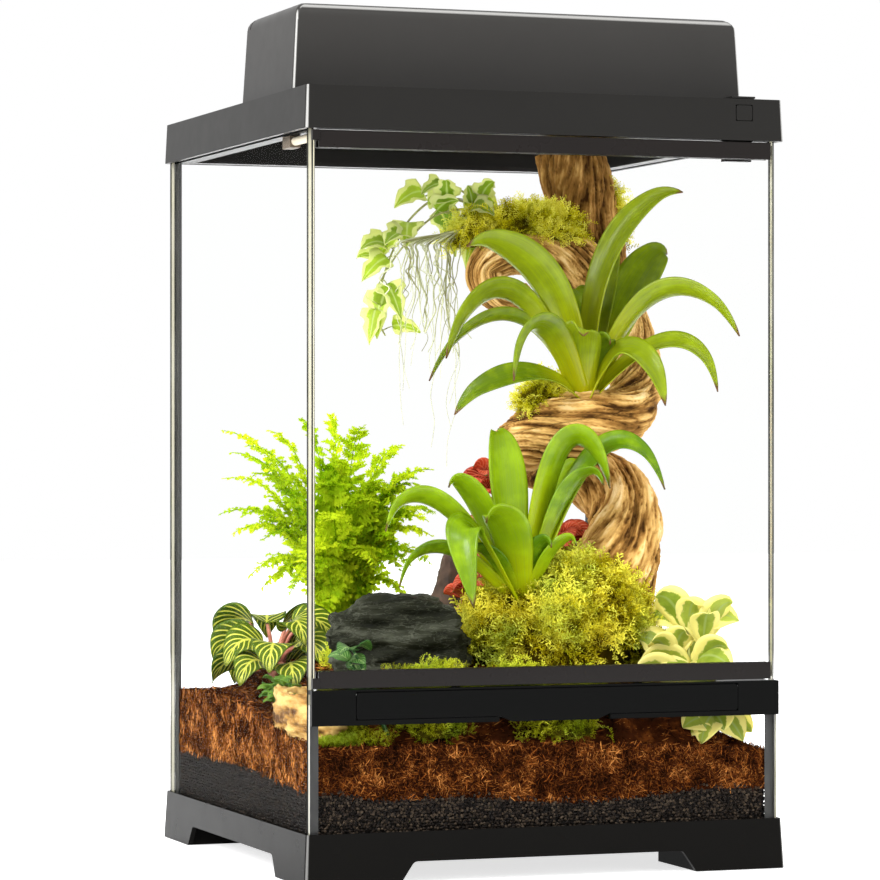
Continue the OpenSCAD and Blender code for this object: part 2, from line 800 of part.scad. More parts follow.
module hood_form() {
    t = hood_wall;
    difference() {
        translate([0, hood_y, hood_z])
            difference() {
                pillow(hood_w, hood_d, hood_h, hood_draft, hood_r, 2.5);
                translate([0, 0, -1])
                    pillow(hood_w - 2 * t, hood_d - 2 * t, hood_h - t + 1, hood_draft,
                        hood_r - t, 1.2);
            }
        // Groove across the top near the back, and air slots in the back wall
        translate([0, hood_y + hood_d / 2 - 10, hood_z + hood_h - 2.4])
            difference() {
                box([-hood_w / 2, -0.8, -5], [hood_w / 2, 0.8, 4]);
                box([-hood_w / 2 + hood_draft + 5, -1, -6], [hood_w / 2 - hood_draft - 5, 1, 1.4]);
            }
        for (i = [-6:6])
            translate([i * 18, hood_y + hood_d / 2 - 6, hood_z + hood_h - 30])
                box([-1.5, 0, 0], [1.5, 8, 16]);
        gland_bore(gland_r + 0.05);
    }
    // Bosses that carry the reflector
    for (x = boss_x)
        translate([x, hood_y, reflector_z])
            difference() {
                cylinder(r = 3.4, h = hood_z + hood_h - t - reflector_z + lap);
                translate([0, 0, -1])
                    cylinder(r = 1.4, h = 6);
            }
}

// The moulded hood as three nodes, so that its hollow stays open: front and sides, back, and top with bosses
module hood_shell() color(plastic)
    difference() {
        hood_form();
        box([-hood_w, -2 * hood_d, hood_split], [hood_w, hood_d, hood_z + 2 * hood_h]);
        box([-hood_w, hood_rear, hood_z - 5], [hood_w, hood_d, hood_z + 2 * hood_h]);
    }

module hood_back() color(plastic)
    difference() {
        hood_form();
        box([-hood_w, -2 * hood_d, hood_split], [hood_w, hood_d, hood_z + 2 * hood_h]);
        box([-hood_w, -2 * hood_d, hood_z - 5], [hood_w, hood_rear, hood_z + 2 * hood_h]);
    }

module hood_top() color(plastic)
    difference() {
        hood_form();
        box([-hood_w, -2 * hood_d, hood_z - 5], [hood_w, hood_d, hood_split]);
    }

reflector_z = hood_z + hood_h - 6.4;
boss_x = [for (i = [-1.5:1:1.5]) i * hood_w / 5];
lamp_z = hood_z + 25;
socket_len = 40;
socket_r = 15;
socket_x = hood_w / 2 - hood_draft - hood_wall - 2.4;

// Folded sheet over the lamps, with an end cheek behind each socket
module hood_reflector() color("#dcdcda") {
    half = hood_d / 2 - hood_wall - 7;
    drop = reflector_z - hood_z - 10;
    difference() {
        union() {
            translate([-socket_x, hood_y, reflector_z])
                rotate([90, 0, 90])
                    linear_extrude(2 * socket_x)
                        difference() {
                            polygon([
                                [-half, -drop], [-half + 14, 0], [half - 14, 0], [half, -drop],
                                [half - 0.9, -drop], [half - 14.6, -0.8], [-half + 14.6, -0.8],
                                [-half + 0.9, -drop]
                            ]);
                        }
            both_sides()
                translate([socket_x, hood_y, reflector_z])
                    rotate([90, 0, -90])
                        linear_extrude(0.8)
                            polygon([[-half, -drop], [-half + 14, 0], [half - 14, 0], [half, -drop]]);
        }
        for (x = boss_x)
            translate([x, hood_y, reflector_z - 2])
                cylinder(r = 1.5, h = 4);
    }
}

module hood_screws() color("silver")
    for (x = boss_x)
        translate([x, hood_y, reflector_z]) {
            translate([0, 0, -2.6])
                cylinder(r = 2.8, h = 1.8);
            translate([0, 0, -2.6])
                cylinder(r = 1.3, h = 6.4);
        }

module lamp_sockets() color("#e8e6df")
    both_sides()
        translate([socket_x - 0.8, hood_y, lamp_z])
            rotate([0, -90, 0])
                difference() {
                    cylinder(r = socket_r, h = socket_len);
                    translate([0, 0, 8])
                        cylinder(r = 13.2, h = socket_len);
                }

module lamp_caps() color("silver")
    both_sides()
        translate([socket_x - 0.8 - 8.2, hood_y, lamp_z])
            rotate([0, -90, 0])
                cylinder(r = 13, h = socket_len - 8.2);

module lamp_glasses() color("#f6f4ee")
    both_sides()
        translate([socket_x - 0.8 - socket_len, hood_y, lamp_z])
            rotate([0, -90, 0])
                rotate_extrude()
                    polygon(concat(
                        [[0, 0], [12.6, 0], [lamp_r, 10]],
                        [
                            for (a = [0:15:75])
                                [lamp_r * cos(a), lamp_len - lamp_r + lamp_r * sin(a)]
                        ],
                        [[0, lamp_len]]
                    ));

// Gland for the lamps' lead, at the back of the hood
gland_r = 6;
gland_at = [-hood_w / 2 + 40, hood_y + hood_d / 2, hood_z + 16];
module gland_bore(r)
    rod(r, gland_at - [0, 14, 0], gland_at + [0, 12, 0]);

module lead_gland() color("#1d1c1b")
    difference() {
        union() {
            rod(gland_r, gland_at - [0, 5, 0], gland_at + [0, 6, 0]);
            rod(gland_r + 2.4, gland_at + [0, 0.2, 0], gland_at + [0, 2, 0]);
        }
        gland_bore(lead_r);
    }

// Drainage granules and soil

// Grid of heights over a flat floor or over another grid
module layer(kind) {
    n = grid + 1;
    function top(i, j) = kind == 0 ? drain_lie(grid_x(i), grid_y(j)) : lie(grid_x(i), grid_y(j));
    function low(i, j) = kind == 0 ? floor_z + 0.1 : drain_lie(grid_x(i), grid_y(j)) + 0.1;
    pts = [
        for (k = [0, 1], j = [0:grid], i = [0:grid])
            [grid_x(i), grid_y(j), k == 0 ? low(i, j) : top(i, j)]
    ];
    up = [
        for (j = [0:grid - 1], i = [0:grid - 1], f = [0, 1])
            let(a = n * n + j * n + i) f == 0 ? [a, a + n + 1, a + 1] : [a, a + n, a + n + 1]
    ];
    down = [for (t = up) [t[0] - n * n, t[2] - n * n, t[1] - n * n]];
    rim = concat(
        [for (i = [0:grid - 1]) i], [for (j = [0:grid - 1]) j * n + grid],
        [for (i = [grid:-1:1]) grid * n + i], [for (j = [grid:-1:1]) j * n]
    );
    walls = [
        for (k = [0:len(rim) - 1], f = [0, 1])
            let(a = rim[k], b = rim[(k + 1) % len(rim)], c = b + n * n, d = a + n * n)
                f == 0 ? [a, c, b] : [a, d, c]
    ];
    polyhedron(pts, concat(up, down, walls), convexity = 6);
}

// Corners where the silicone fillets stand
module corner_room()
    for (sx = [-1, 1], sy = [-1, 1])
        scale([sx, sy, 1])
            translate([in_w, in_d, floor_z - 1])
                rotate([0, 0, 45])
                    cube([2 * fillet_w + 1, 2 * fillet_w + 1, 2 * soil_h], center = true);

module drainage_layer() color("#1d1b1a")
    difference() {
        layer(0);
        corner_room();
    }

// Clods of bark and soil that stand out of the surface: place, radii and height
CLODS = [
    [-24, -138, 8, 5, 5], [58, -136, 8, 6, 5],
    [84, -137, 6, 5, 4], [136, -128, 6, 6, 4], [-140, 8, 5, 8, 4], [-139, 34, 6, 6, 5],
    [-140, 86, 5, 8, 4], [-112, 112, 8, 6, 4], [-70, 124, 7, 6, 3], [28, 126, 8, 6, 4],
    [76, 118, 7, 7, 4], [120, 96, 8, 6, 4], [137, 40, 6, 8, 5], [136, -8, 6, 7, 4],
    [137, -62, 5, 8, 4], [104, 34, 7, 6, 3], [24, 66, 6, 7, 3], [-104, 84, 6, 6, 3]
];
module clod(m) {
    c = on_soil(m.x, m.y);
    skin([
        for (l = [[0.7, -0.8], [1, 0.2], [0.5, 1]])
            [
                for (i = [0:5])
                    let(b = (0.85 + 0.3 * hash(m.x + i)) * l[0])
                        c + grow * [m[2] * b * cos(60 * i), m[3] * b * sin(60 * i), m[4] * l[1]]
            ]
    ]);
}

module soil_layer() color("#5a3018")
    difference() {
        union() {
            layer(1);
            for (m = CLODS)
                clod(m);
        }
        corner_room();
        for (f = FEET)
            foot_ball(f, 0.2);
        dish_shape(0.3, true);
    }

// Shallow stone dish against the left glass
module dish_shape(gap, solid) {
    p = [DISH_SPOT.x * stretch.x, DISH_SPOT.y * stretch.y, dish_z];
    n = 20;
    size = dish_size * grow;
    levels = solid
        ? [[1.02, 0], [1.02, 4]]
        : [[0.9, 0], [1, 0.45], [0.93, 1], [0.74, 1], [0.5, 0.6], [0.1, 0.55]];
    translate(p - [0, 0, solid ? gap : 0])
        skin([
            for (l = levels)
                [
                    for (i = [0:n - 1])
                        let(k = l[0] * (1 + (solid ? 0.05 : 0.04 * sin(3 * 360 * i / n))))
                            [
                                (size.x * k + gap) * cos(360 * i / n),
                                (size.y * k + gap) * sin(360 * i / n), size.z * l[1]
                            ]
                ]
        ]);
}
dish_z = floor_z + soil_front_h - 4;

module water_dish() color("#b08a5c")
    dish_shape(0, false);

// Slate slab that leans back on the plateau
module slate_rock() color("#3f4446") {
    c = place([-74, -86, 124.3]);
    l = slate_l / 2;
    h = slate_h;
    hull()
        for (p = [
            [-0.9, -0.22, 0], [0.75, -0.3, 0], [1, 0.1, 0], [0.6, 0.4, 0], [-0.8, 0.36, 0],
            [-1, -0.12, 0.45], [-0.62, -0.2, 0.82], [0.1, -0.14, 0.96], [0.7, -0.18, 0.8],
            [0.98, -0.05, 0.35], [0.55, 0.28, 0.9], [-0.2, 0.3, 1], [-0.85, 0.24, 0.66]
        ])
            translate([c.x + p.x * l, c.y + p.y * l, c.z + p.z * h])
                cube(0.02);
}

// Dark bark that stands behind the lower bromeliad
module bark_piece() color("#3a2a20")
    skin([
        for (k = [0:6])
            let(
                t = k / 6,
                c = place([mix(-14, 2, t), mix(2, 10, t), 124.3 + 92 * t]),
                r = (16 - 7 * t + 2 * sin(300 * t)) * grow
            )
                [for (i = [0:8]) c + [r * cos(40 * i), 0.7 * r * sin(40 * i), 0]]
    ]);

// Liana that winds up from the soil to the screen
LIANA = [
    [72, -44, 116], [80, -45, 160], [94, -42, 194], [102, -26, 224], [90, 6, 246], [60, 16, 256],
    [39, -8, 264], [42, -40, 272], [62, -56, 277], [92, -50, 284], [112, -26, 300],
    [120, 0, 325], [117, 16, 352], [100, 16, 374], [74, 8, 388], [48, 0, 393], [25, -5, 388],
    [12, -8, 374], [22, -12, 361], [40, -13, 360]
];
LIANA_R = [28, 28, 26, 24, 21, 20, 20, 20, 21, 19, 17, 16, 17, 18, 18, 17, 15, 12, 11, 9];
STUB = [[113, 20, 360], [108, 27, 392], [99, 36, 425], [92, 44, 462]];
STUB_R = [14, 19, 22, 21];

// Radii along a route with k steps between two given ones
function spread_radii(r, k) = [
    for (i = [0:(len(r) - 1) * k]) mix(r[floor(i / k)], r[min(floor(i / k) + 1, len(r) - 1)], i / k % 1)
];

// Turn of the strands from one step of the route to the next, in degrees
strand_turn = 9;

module liana_body() {
    k = 3;
    size = trunk_r / 28;
    q = route([for (p = LIANA) place(p)], k);
    s = route([for (p = STUB) place(p)], k);
    difference() {
        tube(q, size * spread_radii(LIANA_R, k), 12, groove = 0.13, turn = strand_turn);
        slab(2 * in_w, 2 * in_d, floor_z, soil_z + rest);
    }
    tube(s, size * spread_radii(STUB_R, k), 12, groove = 0.13, turn = strand_turn);
    foot_ball(WOOD_FOOT);
    // Burl under the upper rosette
    translate(place([62, -57, 285]))
        sphere(r = 13 * grow, $fn = 12);
}

BROMELIAD_SEAT = [62, -58, 296];
LOWER_SEAT = [12, -76, 166];
module seat_of(p, r, gap = 0)
    translate(place(p) - [0, 0, gap])
        cylinder(r = r * grow + gap, h = 30, $fn = 16);

module liana_wood() color(wood_brown)
    difference() {
        liana_body();
        seat_of(BROMELIAD_SEAT, 9, 0.2);
    }

// Cushion of moss with a flat foot and an uneven crown
module cushion(c, r, h, seed, n = 14) {
    levels = [[0.92, 0], [1, 0.2], [0.93, 0.5], [0.74, 0.78], [0.42, 0.95], [0.08, 1]];
    skin([
        for (l = levels)
            [
                for (i = [0:n - 1])
                    let(b = 0.86 + 0.24 * hash(seed + i * 3.1 + l[1] * 7))
                        c + [
                            r.x * l[0] * b * cos(360 * i / n), r.y * l[0] * b * sin(360 * i / n),
                            h * l[1]
                        ]
            ]
    ]);
}

module moss_mound() color(moss_green)
    difference() {
        cushion(place([44, -62, 124.3]), [62, 40] * grow, 62 * grow, 3, 18);
        liana_body();
        seat_of(LOWER_SEAT, 12, 0.2);
    }

module ground_moss() color(moss_green)
    difference() {
        for (m = [
            [-58, -120, 30, 13, 10], [-10, -120, 24, 12, 9], [34, -121, 18, 11, 7],
            [-68, -138, 22, 7, 6], [14, -138, 24, 7, 6],
            [-84, -24, 16, 16, 12], [-62, 28, 22, 18, 14], [62, 60, 34, 26, 12],
            [-20, 92, 22, 20, 10]
        ])
            cushion(on_soil(m.x, m.y) - [0, 0, 14], [m[2], m[3]] * grow, (m[4] + 14) * grow, m.x);
        layer(1);
    }

// Moss that grows on the liana: on the upper loop, the stub and the lower band
module wood_moss() color(moss_green)
    difference() {
        union() {
            cushion(place([48, 0, 398]), [38, 16] * grow, 20 * grow, 5);
            cushion(place([16, 6, 393]), [19, 16] * grow, 20 * grow, 8);
            cushion(place([112, 34, 398]), [14, 16] * grow, 40 * grow, 2);
            cushion(place([42, -40, 286]), [17, 12] * grow, 18 * grow, 6);
        }
        liana_body();
        // Pocket where the ivy and the hanging moss are rooted
        translate(place([15, 8, 404]))
            cylinder(r = 6.5 * grow, h = 20, $fn = 8);
        seat_of_cup(BROMELIAD_SEAT, 10);
    }

// Plants

// Rosette of straps: through point, tip and width of each leaf, from its seat
UPPER_LEAVES = [
    [[-34, -17, 68], [-90, -27, 95], 20], [[-51, -2, 60], [-95, -2, 25], 14],
    [[-47, 8, 45], [-101, 13, 11], 9], [[-42, -37, 37], [-70, -57, 10], 17],
    [[-51, -27, 7], [-102, -37, -11], 15], [[16, -2, 84], [62, -17, 133], 15],
    [[21, 18, 60], [32, 23, 98], 14], [[38, 13, 60], [66, 18, 95], 24],
    [[38, -32, 59], [78, -70, 39], 13], [[47, -27, 28], [70, -54, 4], 13],
    [[17, -32, 23], [34, -54, -5], 17], [[-12, -22, 25], [-15, -37, 39], 22],
    [[6, 13, 47], [6, 38, 67], 14]
];
LOWER_LEAVES = [
    [[-10, 1, 66], [-12, 11, 108], 22], [[-31, -9, 52], [-54, -14, 74], 16],
    [[-60, -16, 56], [-99, -24, 47], 12], [[-48, -32, 42], [-50, -49, 0], 18],
    [[25, -9, 90], [51, -24, 73], 18], [[50, -6, 88], [92, -16, 72], 13],
    [[22, 4, 59], [44, 8, 85], 10], [[25, -14, 61], [46, -26, 75], 12],
    [[-18, -24, 38], [-37, -36, 52], 22], [[-23, -14, 21], [-45, -24, 30], 10],
    [[11, -24, 25], [25, -32, 37], 8], [[-53, -8, 27], [-88, -18, 12], 10]
];

module rosette(seat, r, leaves) {
    p = place(seat);
    seat_of_cup(seat, r);
    for (l = leaves)
        leaf(p + [0, 0, 6 * grow], p + grow * l[0], p + grow * l[1], grow * l[2], true, 6, 2);
}

module seat_of_cup(p, r)
    translate(place(p))
        cylinder(r1 = r * grow, r2 = 6 * grow, h = 16 * grow, $fn = 12);

module upper_bromeliad() color(leaf_green)
    rosette(BROMELIAD_SEAT, 9, UPPER_LEAVES);

module lower_bromeliad() color(leaf_green)
    rosette(LOWER_SEAT, 12, LOWER_LEAVES);

// Arching fronds round one crown, given by their tips
FROND_TIPS = [
    [-78, 10, 150], [-70, -20, 140], [-40, 30, 150], [-27, 0, 158], [-6, 0, 160], [8, -20, 152],
    [46, 10, 140], [57, -20, 124], [61, 0, 90], [-80, 10, 95], [-72, 30, 118], [-62, 0, 55],
    [-46, -60, 66], [29, -40, 58], [5, -50, 104], [-29, -66, 92]
];
module fern() color("#7aa62a") {
    foot_ball(FERN_FOOT);
    c = on_soil(FERN_FOOT.x, FERN_FOOT.y);
    for (i = [0:len(FROND_TIPS) - 1])
        let(v = FROND_TIPS[i] * grow, out = unit([v.x, v.y, 0]))
            leaf(c + 6 * grow * out, c + [0.42 * v.x, 0.42 * v.y, 0.5 * v.z + 34 * grow], c + v,
                (19 + 7 * hash(i + 4)) * grow, n = 5);
}

// Tuft of leaves round a point
module tuft(c, n, l, w, slope, turn = 0, droop = 0.35)
    for (i = [0:n - 1])
        leaf_at(c, turn + 360 * i / n, slope + 22 * (i % 3 - 1), l * (0.85 + 0.3 * hash(i + turn)), w,
            droop);

module fittonia() color("#b8432c")
    for (m = [
        [[16, -14, 124.8], [12, -16, 180], [20, -24, 236]],
        [[56, -12, 124.8], [60, -14, 165], [62, -22, 206]],
        [[-12, -14, 124.8], [-18, -30, 152], [-2, -48, 186]]
    ]) {
        q = [for (p = m) place(p)];
        strand(q, 1.3, 3);
        tuft(q[2] - [0, 0, 1], 7, 15 * grow, 11 * grow, 30, 20 * m[2].x);
    }

module veined_plant() color("#3c6b24") {
    foot_ball(VEINED_FOOT);
    c = on_soil(VEINED_FOOT.x, VEINED_FOOT.y);
    for (i = [0:10])
        let(
            az = 137.5 * i,
            b = c + [
                (13 + 2 * (i % 3)) * cos(az), (24 + 3 * (i % 4)) * sin(az), 22 + 4 * ((i * 3) % 7)
            ] * grow
        ) {
            strand([c - [0, 0, 1], mix(c, b, 0.6) + [0, 0, 4], b + [0, 0, 0.4]], 1.1, 3);
            leaf_at(b, az, 18, 23 * grow, 17 * grow, 0.4);
        }
}

module peperomia() color("#a9b04a") {
    foot_ball(PEPEROMIA_FOOT);
    c = on_soil(PEPEROMIA_FOOT.x, PEPEROMIA_FOOT.y);
    for (i = [0:2]) {
        b = c + [6 * i - 6, 8 - 6 * i, 31 + 20 * (i % 2) + 10 * i] * grow;
        strand([c - [0, 0, 1], mix(c, b, 0.5) + [1, 2, 0], b], 1.6, 3);
        tuft(b - [0, 0, 1.5], 5, 20 * grow, 17 * grow, 30, 40 * i);
        tuft(mix(c, b, 0.55) + [0.6, 1.4, 0], 3, 17 * grow, 15 * grow, 12, 75 * i - 110);
    }
    // Low shoot on the front slope, under the vent bar
    low = c + [9, -13, -8] * grow;
    strand([c - [0, 0, 1], mix(c, low, 0.5) + [0, 0, 4], low], 1.4, 2);
    for (az = [190, 235, 280, 325])
        leaf_at(low - [0, 0, 1], az, 18, 15 * grow, 14 * grow);
}

// Ivy: runners from the upper loop with a leaf at every bend
IVY = [
    [[15, 10, 405], [13, 12, 420], [-8, 22, 426], [-24, 30, 414], [-34, 34, 396], [-42, 36, 374],
        [-46, 38, 350], [-40, 38, 336]],
    [[16, 9, 405], [16, 11, 417], [6, 30, 434], [-12, 40, 428]],
    [[12, 9, 405], [10, 12, 418], [-12, 20, 414], [-34, 24, 392], [-50, 28, 366]]
];
module ivy_runners()
    for (v = IVY)
        strand([for (p = v) place(p)], 1, 3);

module ivy() color("#9db85a") {
    ivy_runners();
    for (v = IVY)
        for (i = [2:len(v) - 1])
            leaf_at(place(v[i]), 150 + 97 * i + v[i].x, 24, 17 * grow, 15 * grow);
}

// Pale strands that hang from the left end of the loop
module hanging_moss() color("#c3c7a0")
    moss_strands();

module moss_strands()
    for (i = [0:8]) {
        x = -6 - 4.2 * i + 2 * sin(77 * i);
        y = 9 + 3 * sin(131 * i);
        drop = 60 + 80 * hash(i + 2);
        strand([
            place([14 - 0.3 * i, 4.5, 405]), place([12 - 0.3 * i, 4.5, 416]), place([x, y, 396]),
            place([x + 4 * sin(50 * i), y - 2, 388 - drop / 2]), place([x - 3, y + 2, 388 - drop])
        ], 0.8, 2, 4);
    }

module creeper() color("#5f7d2a") {
    foot_ball(CREEPER_FOOT);
    c = on_soil(CREEPER_FOOT.x, CREEPER_FOOT.y);
    for (i = [0:6]) {
        b = c + [4 * sin(100 * i), -22 + 7 * i, 10 + 4 * (i % 3)] * grow;
        strand([c - [0, 0, 1], mix(c, b, 0.5) + [0, 0, 3], b], 0.8, 2);
        tuft(b - [0, 0, 0.4], 3, 8 * grow, 6 * grow, 25, 50 * i);
    }
}

module dark_leaf_plant() color("#2f5a22") {
    foot_ball(DARK_FOOT);
    c = on_soil(DARK_FOOT.x, DARK_FOOT.y);
    for (i = [0:3]) {
        b = c + [6 * cos(90 * i) - 16, 5 * sin(90 * i) + 11, 36 + 8 * (i % 3)] * grow;
        strand([c - [0, 0, 1], mix(c, b, 0.6) + [0, 0, 3], b], 1.2, 3);
        leaf_at(b - [0, 0, 0.5], 90 * i + 20, 15, 14 * grow, 14 * grow);
    }
}

base_frame();
bottom_glass();
left_glass();
right_glass();
back_glass();
front_lower_glass();
silicone_seals();
top_frame();
corner_bracket();
bracket_pin();
vent_bar();
vent_grille();
latch_plate();
latch_pivots();
latch_springs();
door_glass();
door_top_rail();
door_bottom_rail();
hinge_caps();
hinge_pins();
latch_button();
button_spring();
button_housing();
screen_frame();
screen_mesh();
cable_slide_left();
cable_slide_right();
hood_shell();
hood_back();
hood_top();
hood_reflector();
hood_screws();
lamp_sockets();
lamp_caps();
lamp_glasses();
lead_gland();
drainage_layer();
soil_layer();
water_dish();
slate_rock();
bark_piece();
liana_wood();
moss_mound();
ground_moss();
wood_moss();
fern();
upper_bromeliad();
lower_bromeliad();
fittonia();
veined_plant();
peperomia();
ivy();
hanging_moss();
creeper();
dark_leaf_plant();
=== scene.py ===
"""Looks of the planted glass terrarium: materials for its solids, and detailed ground, wood and plants."""

import json
import math
from functools import partialmethod
from itertools import combinations, product

import bpy
import numpy as np
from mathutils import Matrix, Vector


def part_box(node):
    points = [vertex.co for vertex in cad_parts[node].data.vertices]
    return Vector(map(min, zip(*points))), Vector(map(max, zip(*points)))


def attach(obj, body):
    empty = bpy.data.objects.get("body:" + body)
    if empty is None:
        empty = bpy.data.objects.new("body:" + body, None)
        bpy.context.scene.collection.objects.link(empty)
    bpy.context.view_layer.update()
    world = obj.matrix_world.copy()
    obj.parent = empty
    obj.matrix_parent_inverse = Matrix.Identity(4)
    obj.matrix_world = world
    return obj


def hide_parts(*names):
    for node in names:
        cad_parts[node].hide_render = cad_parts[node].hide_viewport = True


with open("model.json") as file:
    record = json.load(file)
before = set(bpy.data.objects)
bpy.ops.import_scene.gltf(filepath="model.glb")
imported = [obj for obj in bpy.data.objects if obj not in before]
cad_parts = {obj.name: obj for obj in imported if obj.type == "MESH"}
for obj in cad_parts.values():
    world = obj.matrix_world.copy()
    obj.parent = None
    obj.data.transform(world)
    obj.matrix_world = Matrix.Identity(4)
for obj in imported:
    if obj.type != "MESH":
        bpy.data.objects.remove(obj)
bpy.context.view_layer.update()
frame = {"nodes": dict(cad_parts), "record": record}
nodes = frame["nodes"]
MM = 0.001

# Sizes in millimetres: half the inside, the floor's top, the soil's top and the stones' gap to the left pane

HALF = -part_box("left_glass")[1].x / MM
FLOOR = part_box("bottom_glass")[1].z / MM
PLATEAU = FLOOR + 97
PANE_GAP = 0.8

# Size of this tank in parts of the one that the plants are laid out for
GROW = HALF / 150

# Places in metres between which painted light and shade change: heights on the hood, where it is painted
# darker lower down, and the ground behind the left pane, where the soil is painted lighter and the granules
# darker
HOOD_SHADE_HEIGHTS = (0.482, 0.53)
LEFT_PANE_LIGHT_AND_SHADE = (-0.1495, -0.143)

# Noise and small vector tools


def unit(v):
    v = np.asarray(v, float)
    return v / np.maximum(np.linalg.norm(v, axis=-1, keepdims=True), 1e-9)


def ease(t):
    t = np.clip(t, 0, 1)
    return t * t * (3 - 2 * t)


def lattice(i, j, k, seed):
    n = (i * 73856093) ^ (j * 19349663) ^ (k * 83492791) ^ (seed * 40503 + 977)
    n = ((n ^ (n >> 13)) * 1274126177) & 0x7FFFFFFF
    n = ((n ^ (n >> 15)) * 2246822519) & 0x7FFFFFFF
    return (n & 0xFFFF) / 65535.0


def noise(p, seed=0):
    """Smooth noise from -1 to 1 at points (n, 3)."""
    base = np.floor(p).astype(np.int64)
    f = ease(p - base)
    total = np.zeros(len(p))
    for corner in product((0, 1), repeat=3):
        share = np.prod(np.where(corner, f, 1 - f), axis=1)
        total += share * lattice(*(base + corner).T, seed)
    return 2 * total - 1


def fbm(p, octaves=4, seed=0, gain=0.5):
    total, size = np.zeros(len(p)), 1.0
    for o in range(octaves):
        total += size * noise(p * 2.0**o, seed + o)
        size *= gain
    return total


def arc(a, via, b, n):
    """Points on the bow from a to b that passes through via halfway."""
    a, via, b = (np.asarray(x, float) for x in (a, via, b))
    t = np.linspace(0, 1, n)[:, None]
    c = 2 * via - (a + b) / 2
    return (1 - t) ** 2 * a + 2 * t * (1 - t) * c + t * t * b


def route(points, steps):
    """Smooth route through all the points."""
    p = np.asarray(points, float)
    p = np.concatenate([p[:1], p, p[-1:]])
    t = np.arange(0, 1, 1 / steps)[:, None]
    parts = [
        0.5 * (2 * b + (c - a) * t + (2 * a - 5 * b + 4 * c - d) * t**2 + (3 * b - a - 3 * c + d) * t**3)
        for a, b, c, d in zip(p, p[1:], p[2:], p[3:])
    ]
    return np.concatenate([*parts, p[-1:]])


def grown(points):
    """Points of the plan at the size of this tank."""
    return np.asarray(points, float) * [GROW, GROW, 1]


def carried(path, start=(0.31, 0.17, 0.93)):
    """Tangents and two normals along a path, without twist."""
    tangent = unit(np.gradient(path, axis=0))
    first = np.zeros_like(path)
    n = np.asarray(start, float)
    for i, t in enumerate(tangent):
        n = unit(n - np.dot(n, t) * t)
        first[i] = n
    return tangent, first, np.cross(tangent, first)


def grid_faces(rows, cols, wrap=False):
    i, j = np.meshgrid(np.arange(rows - 1), np.arange(cols if wrap else cols - 1), indexing="ij")
    k = (j + 1) % cols
    quads = np.stack([i * cols + j, i * cols + k, (i + 1) * cols + k, (i + 1) * cols + j], -1)
    return quads.reshape(-1, 4)


# Meshes and modifiers


def placed(name, data):
    obj = bpy.data.objects.new(name, data)
    bpy.context.scene.collection.objects.link(obj)
    return obj


def modify(obj, kind, **settings):
    modifier = obj.modifiers.new(kind.lower(), kind)
    for key, value in settings.items():
        setattr(modifier, key, value)


def mesh_points(mesh):
    return np.array([v.co for v in mesh.vertices]) / MM


def triangles(mesh):
    mesh.calc_loop_triangles()
    return np.array([t.vertices[:] for t in mesh.loop_triangles])


class Build:
    """Collects points and faces in millimetres, with a place on the leaf and a tone for each point."""

    def __init__(self):
        self.points, self.faces, self.leaf = [], [], []
        self.count = 0

    def add(self, points, faces, tone=0.5, leaf=None):
        points = np.asarray(points, float).reshape(-1, 3)
        data = np.zeros((len(points), 3))
        if leaf is not None:
            data[:, : leaf.shape[1]] = leaf
        data[:, 2] = tone
        self.points.append(points)
        self.faces.append(np.asarray(faces, np.int64) + self.count)
        self.leaf.append(data)
        self.count += len(points)

    def piece(self, name, material, replaces=(), slot=None, thick=0):
        mesh = bpy.data.meshes.new(name)
        co = np.concatenate(self.points) * MM
        loops = np.concatenate([f.ravel() for f in self.faces])
        sizes = np.concatenate([np.full(len(f), f.shape[1]) for f in self.faces])
        starts = np.concatenate([[0], np.cumsum(sizes)[:-1]])
        mesh.vertices.add(len(co))
        mesh.loops.add(len(loops))
        mesh.polygons.add(len(sizes))
        mesh.vertices.foreach_set("co", co.ravel().astype(np.float32))
        mesh.loops.foreach_set("vertex_index", loops.astype(np.int32))
        mesh.polygons.foreach_set("loop_start", starts.astype(np.int32))
        mesh.polygons.foreach_set("use_smooth", np.ones(len(sizes), bool))
        leaf = mesh.attributes.new("leaf", "FLOAT_VECTOR", "POINT")
        leaf.data.foreach_set("vector", np.concatenate(self.leaf).ravel().astype(np.float32))
        mesh.update(calc_edges=True)
        mesh.validate()
        mesh.materials.append(material)
        obj = placed(name, mesh)
        if thick:
            modify(obj, "SOLIDIFY", thickness=thick * MM, offset=0)
        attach(obj, "tank")
        if replaces:
            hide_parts(*replaces)


def rings(path, a, radius):
    """Rings of points round a path, at the angles a and as far out as radius."""
    _, u, v = carried(path)
    ring = np.cos(a)[..., None] * u[:, None] + np.sin(a)[..., None] * v[:, None]
    return path[:, None] + radius[..., None] * ring


def tube(build, path, radius, sides=6, tone=0.5):
    t = np.repeat(np.linspace(0, 1, len(path)), sides)
    points = rings(path, np.linspace(0, 2 * np.pi, sides, endpoint=False), radius[:, None])
    build.add(points, grid_faces(len(path), sides, True), tone, np.stack([t, 0 * t + 0.5], 1))


def strap(t):
    """Widths of a strap: widest past its middle, then drawn out to a point."""
    body = 0.62 + 0.38 * ease(t / 0.5)
    end = np.clip((t - 0.5) / 0.5, 0, 1)
    return body * np.clip(1 - end**2.4, 0, 1) ** 0.8 + 0.02


def oval(t):
    return np.sin(np.pi * (0.03 + 0.965 * t)) ** 0.75


def heart(t):
    return np.clip(np.sin(np.pi * np.clip(t, 0, 1) ** 0.62), 0, 1) ** 0.8 + 0.01


# Way to the door, where turned leaves show their faces
TO_FRONT = np.array([0.33, 0.94, 0.0])


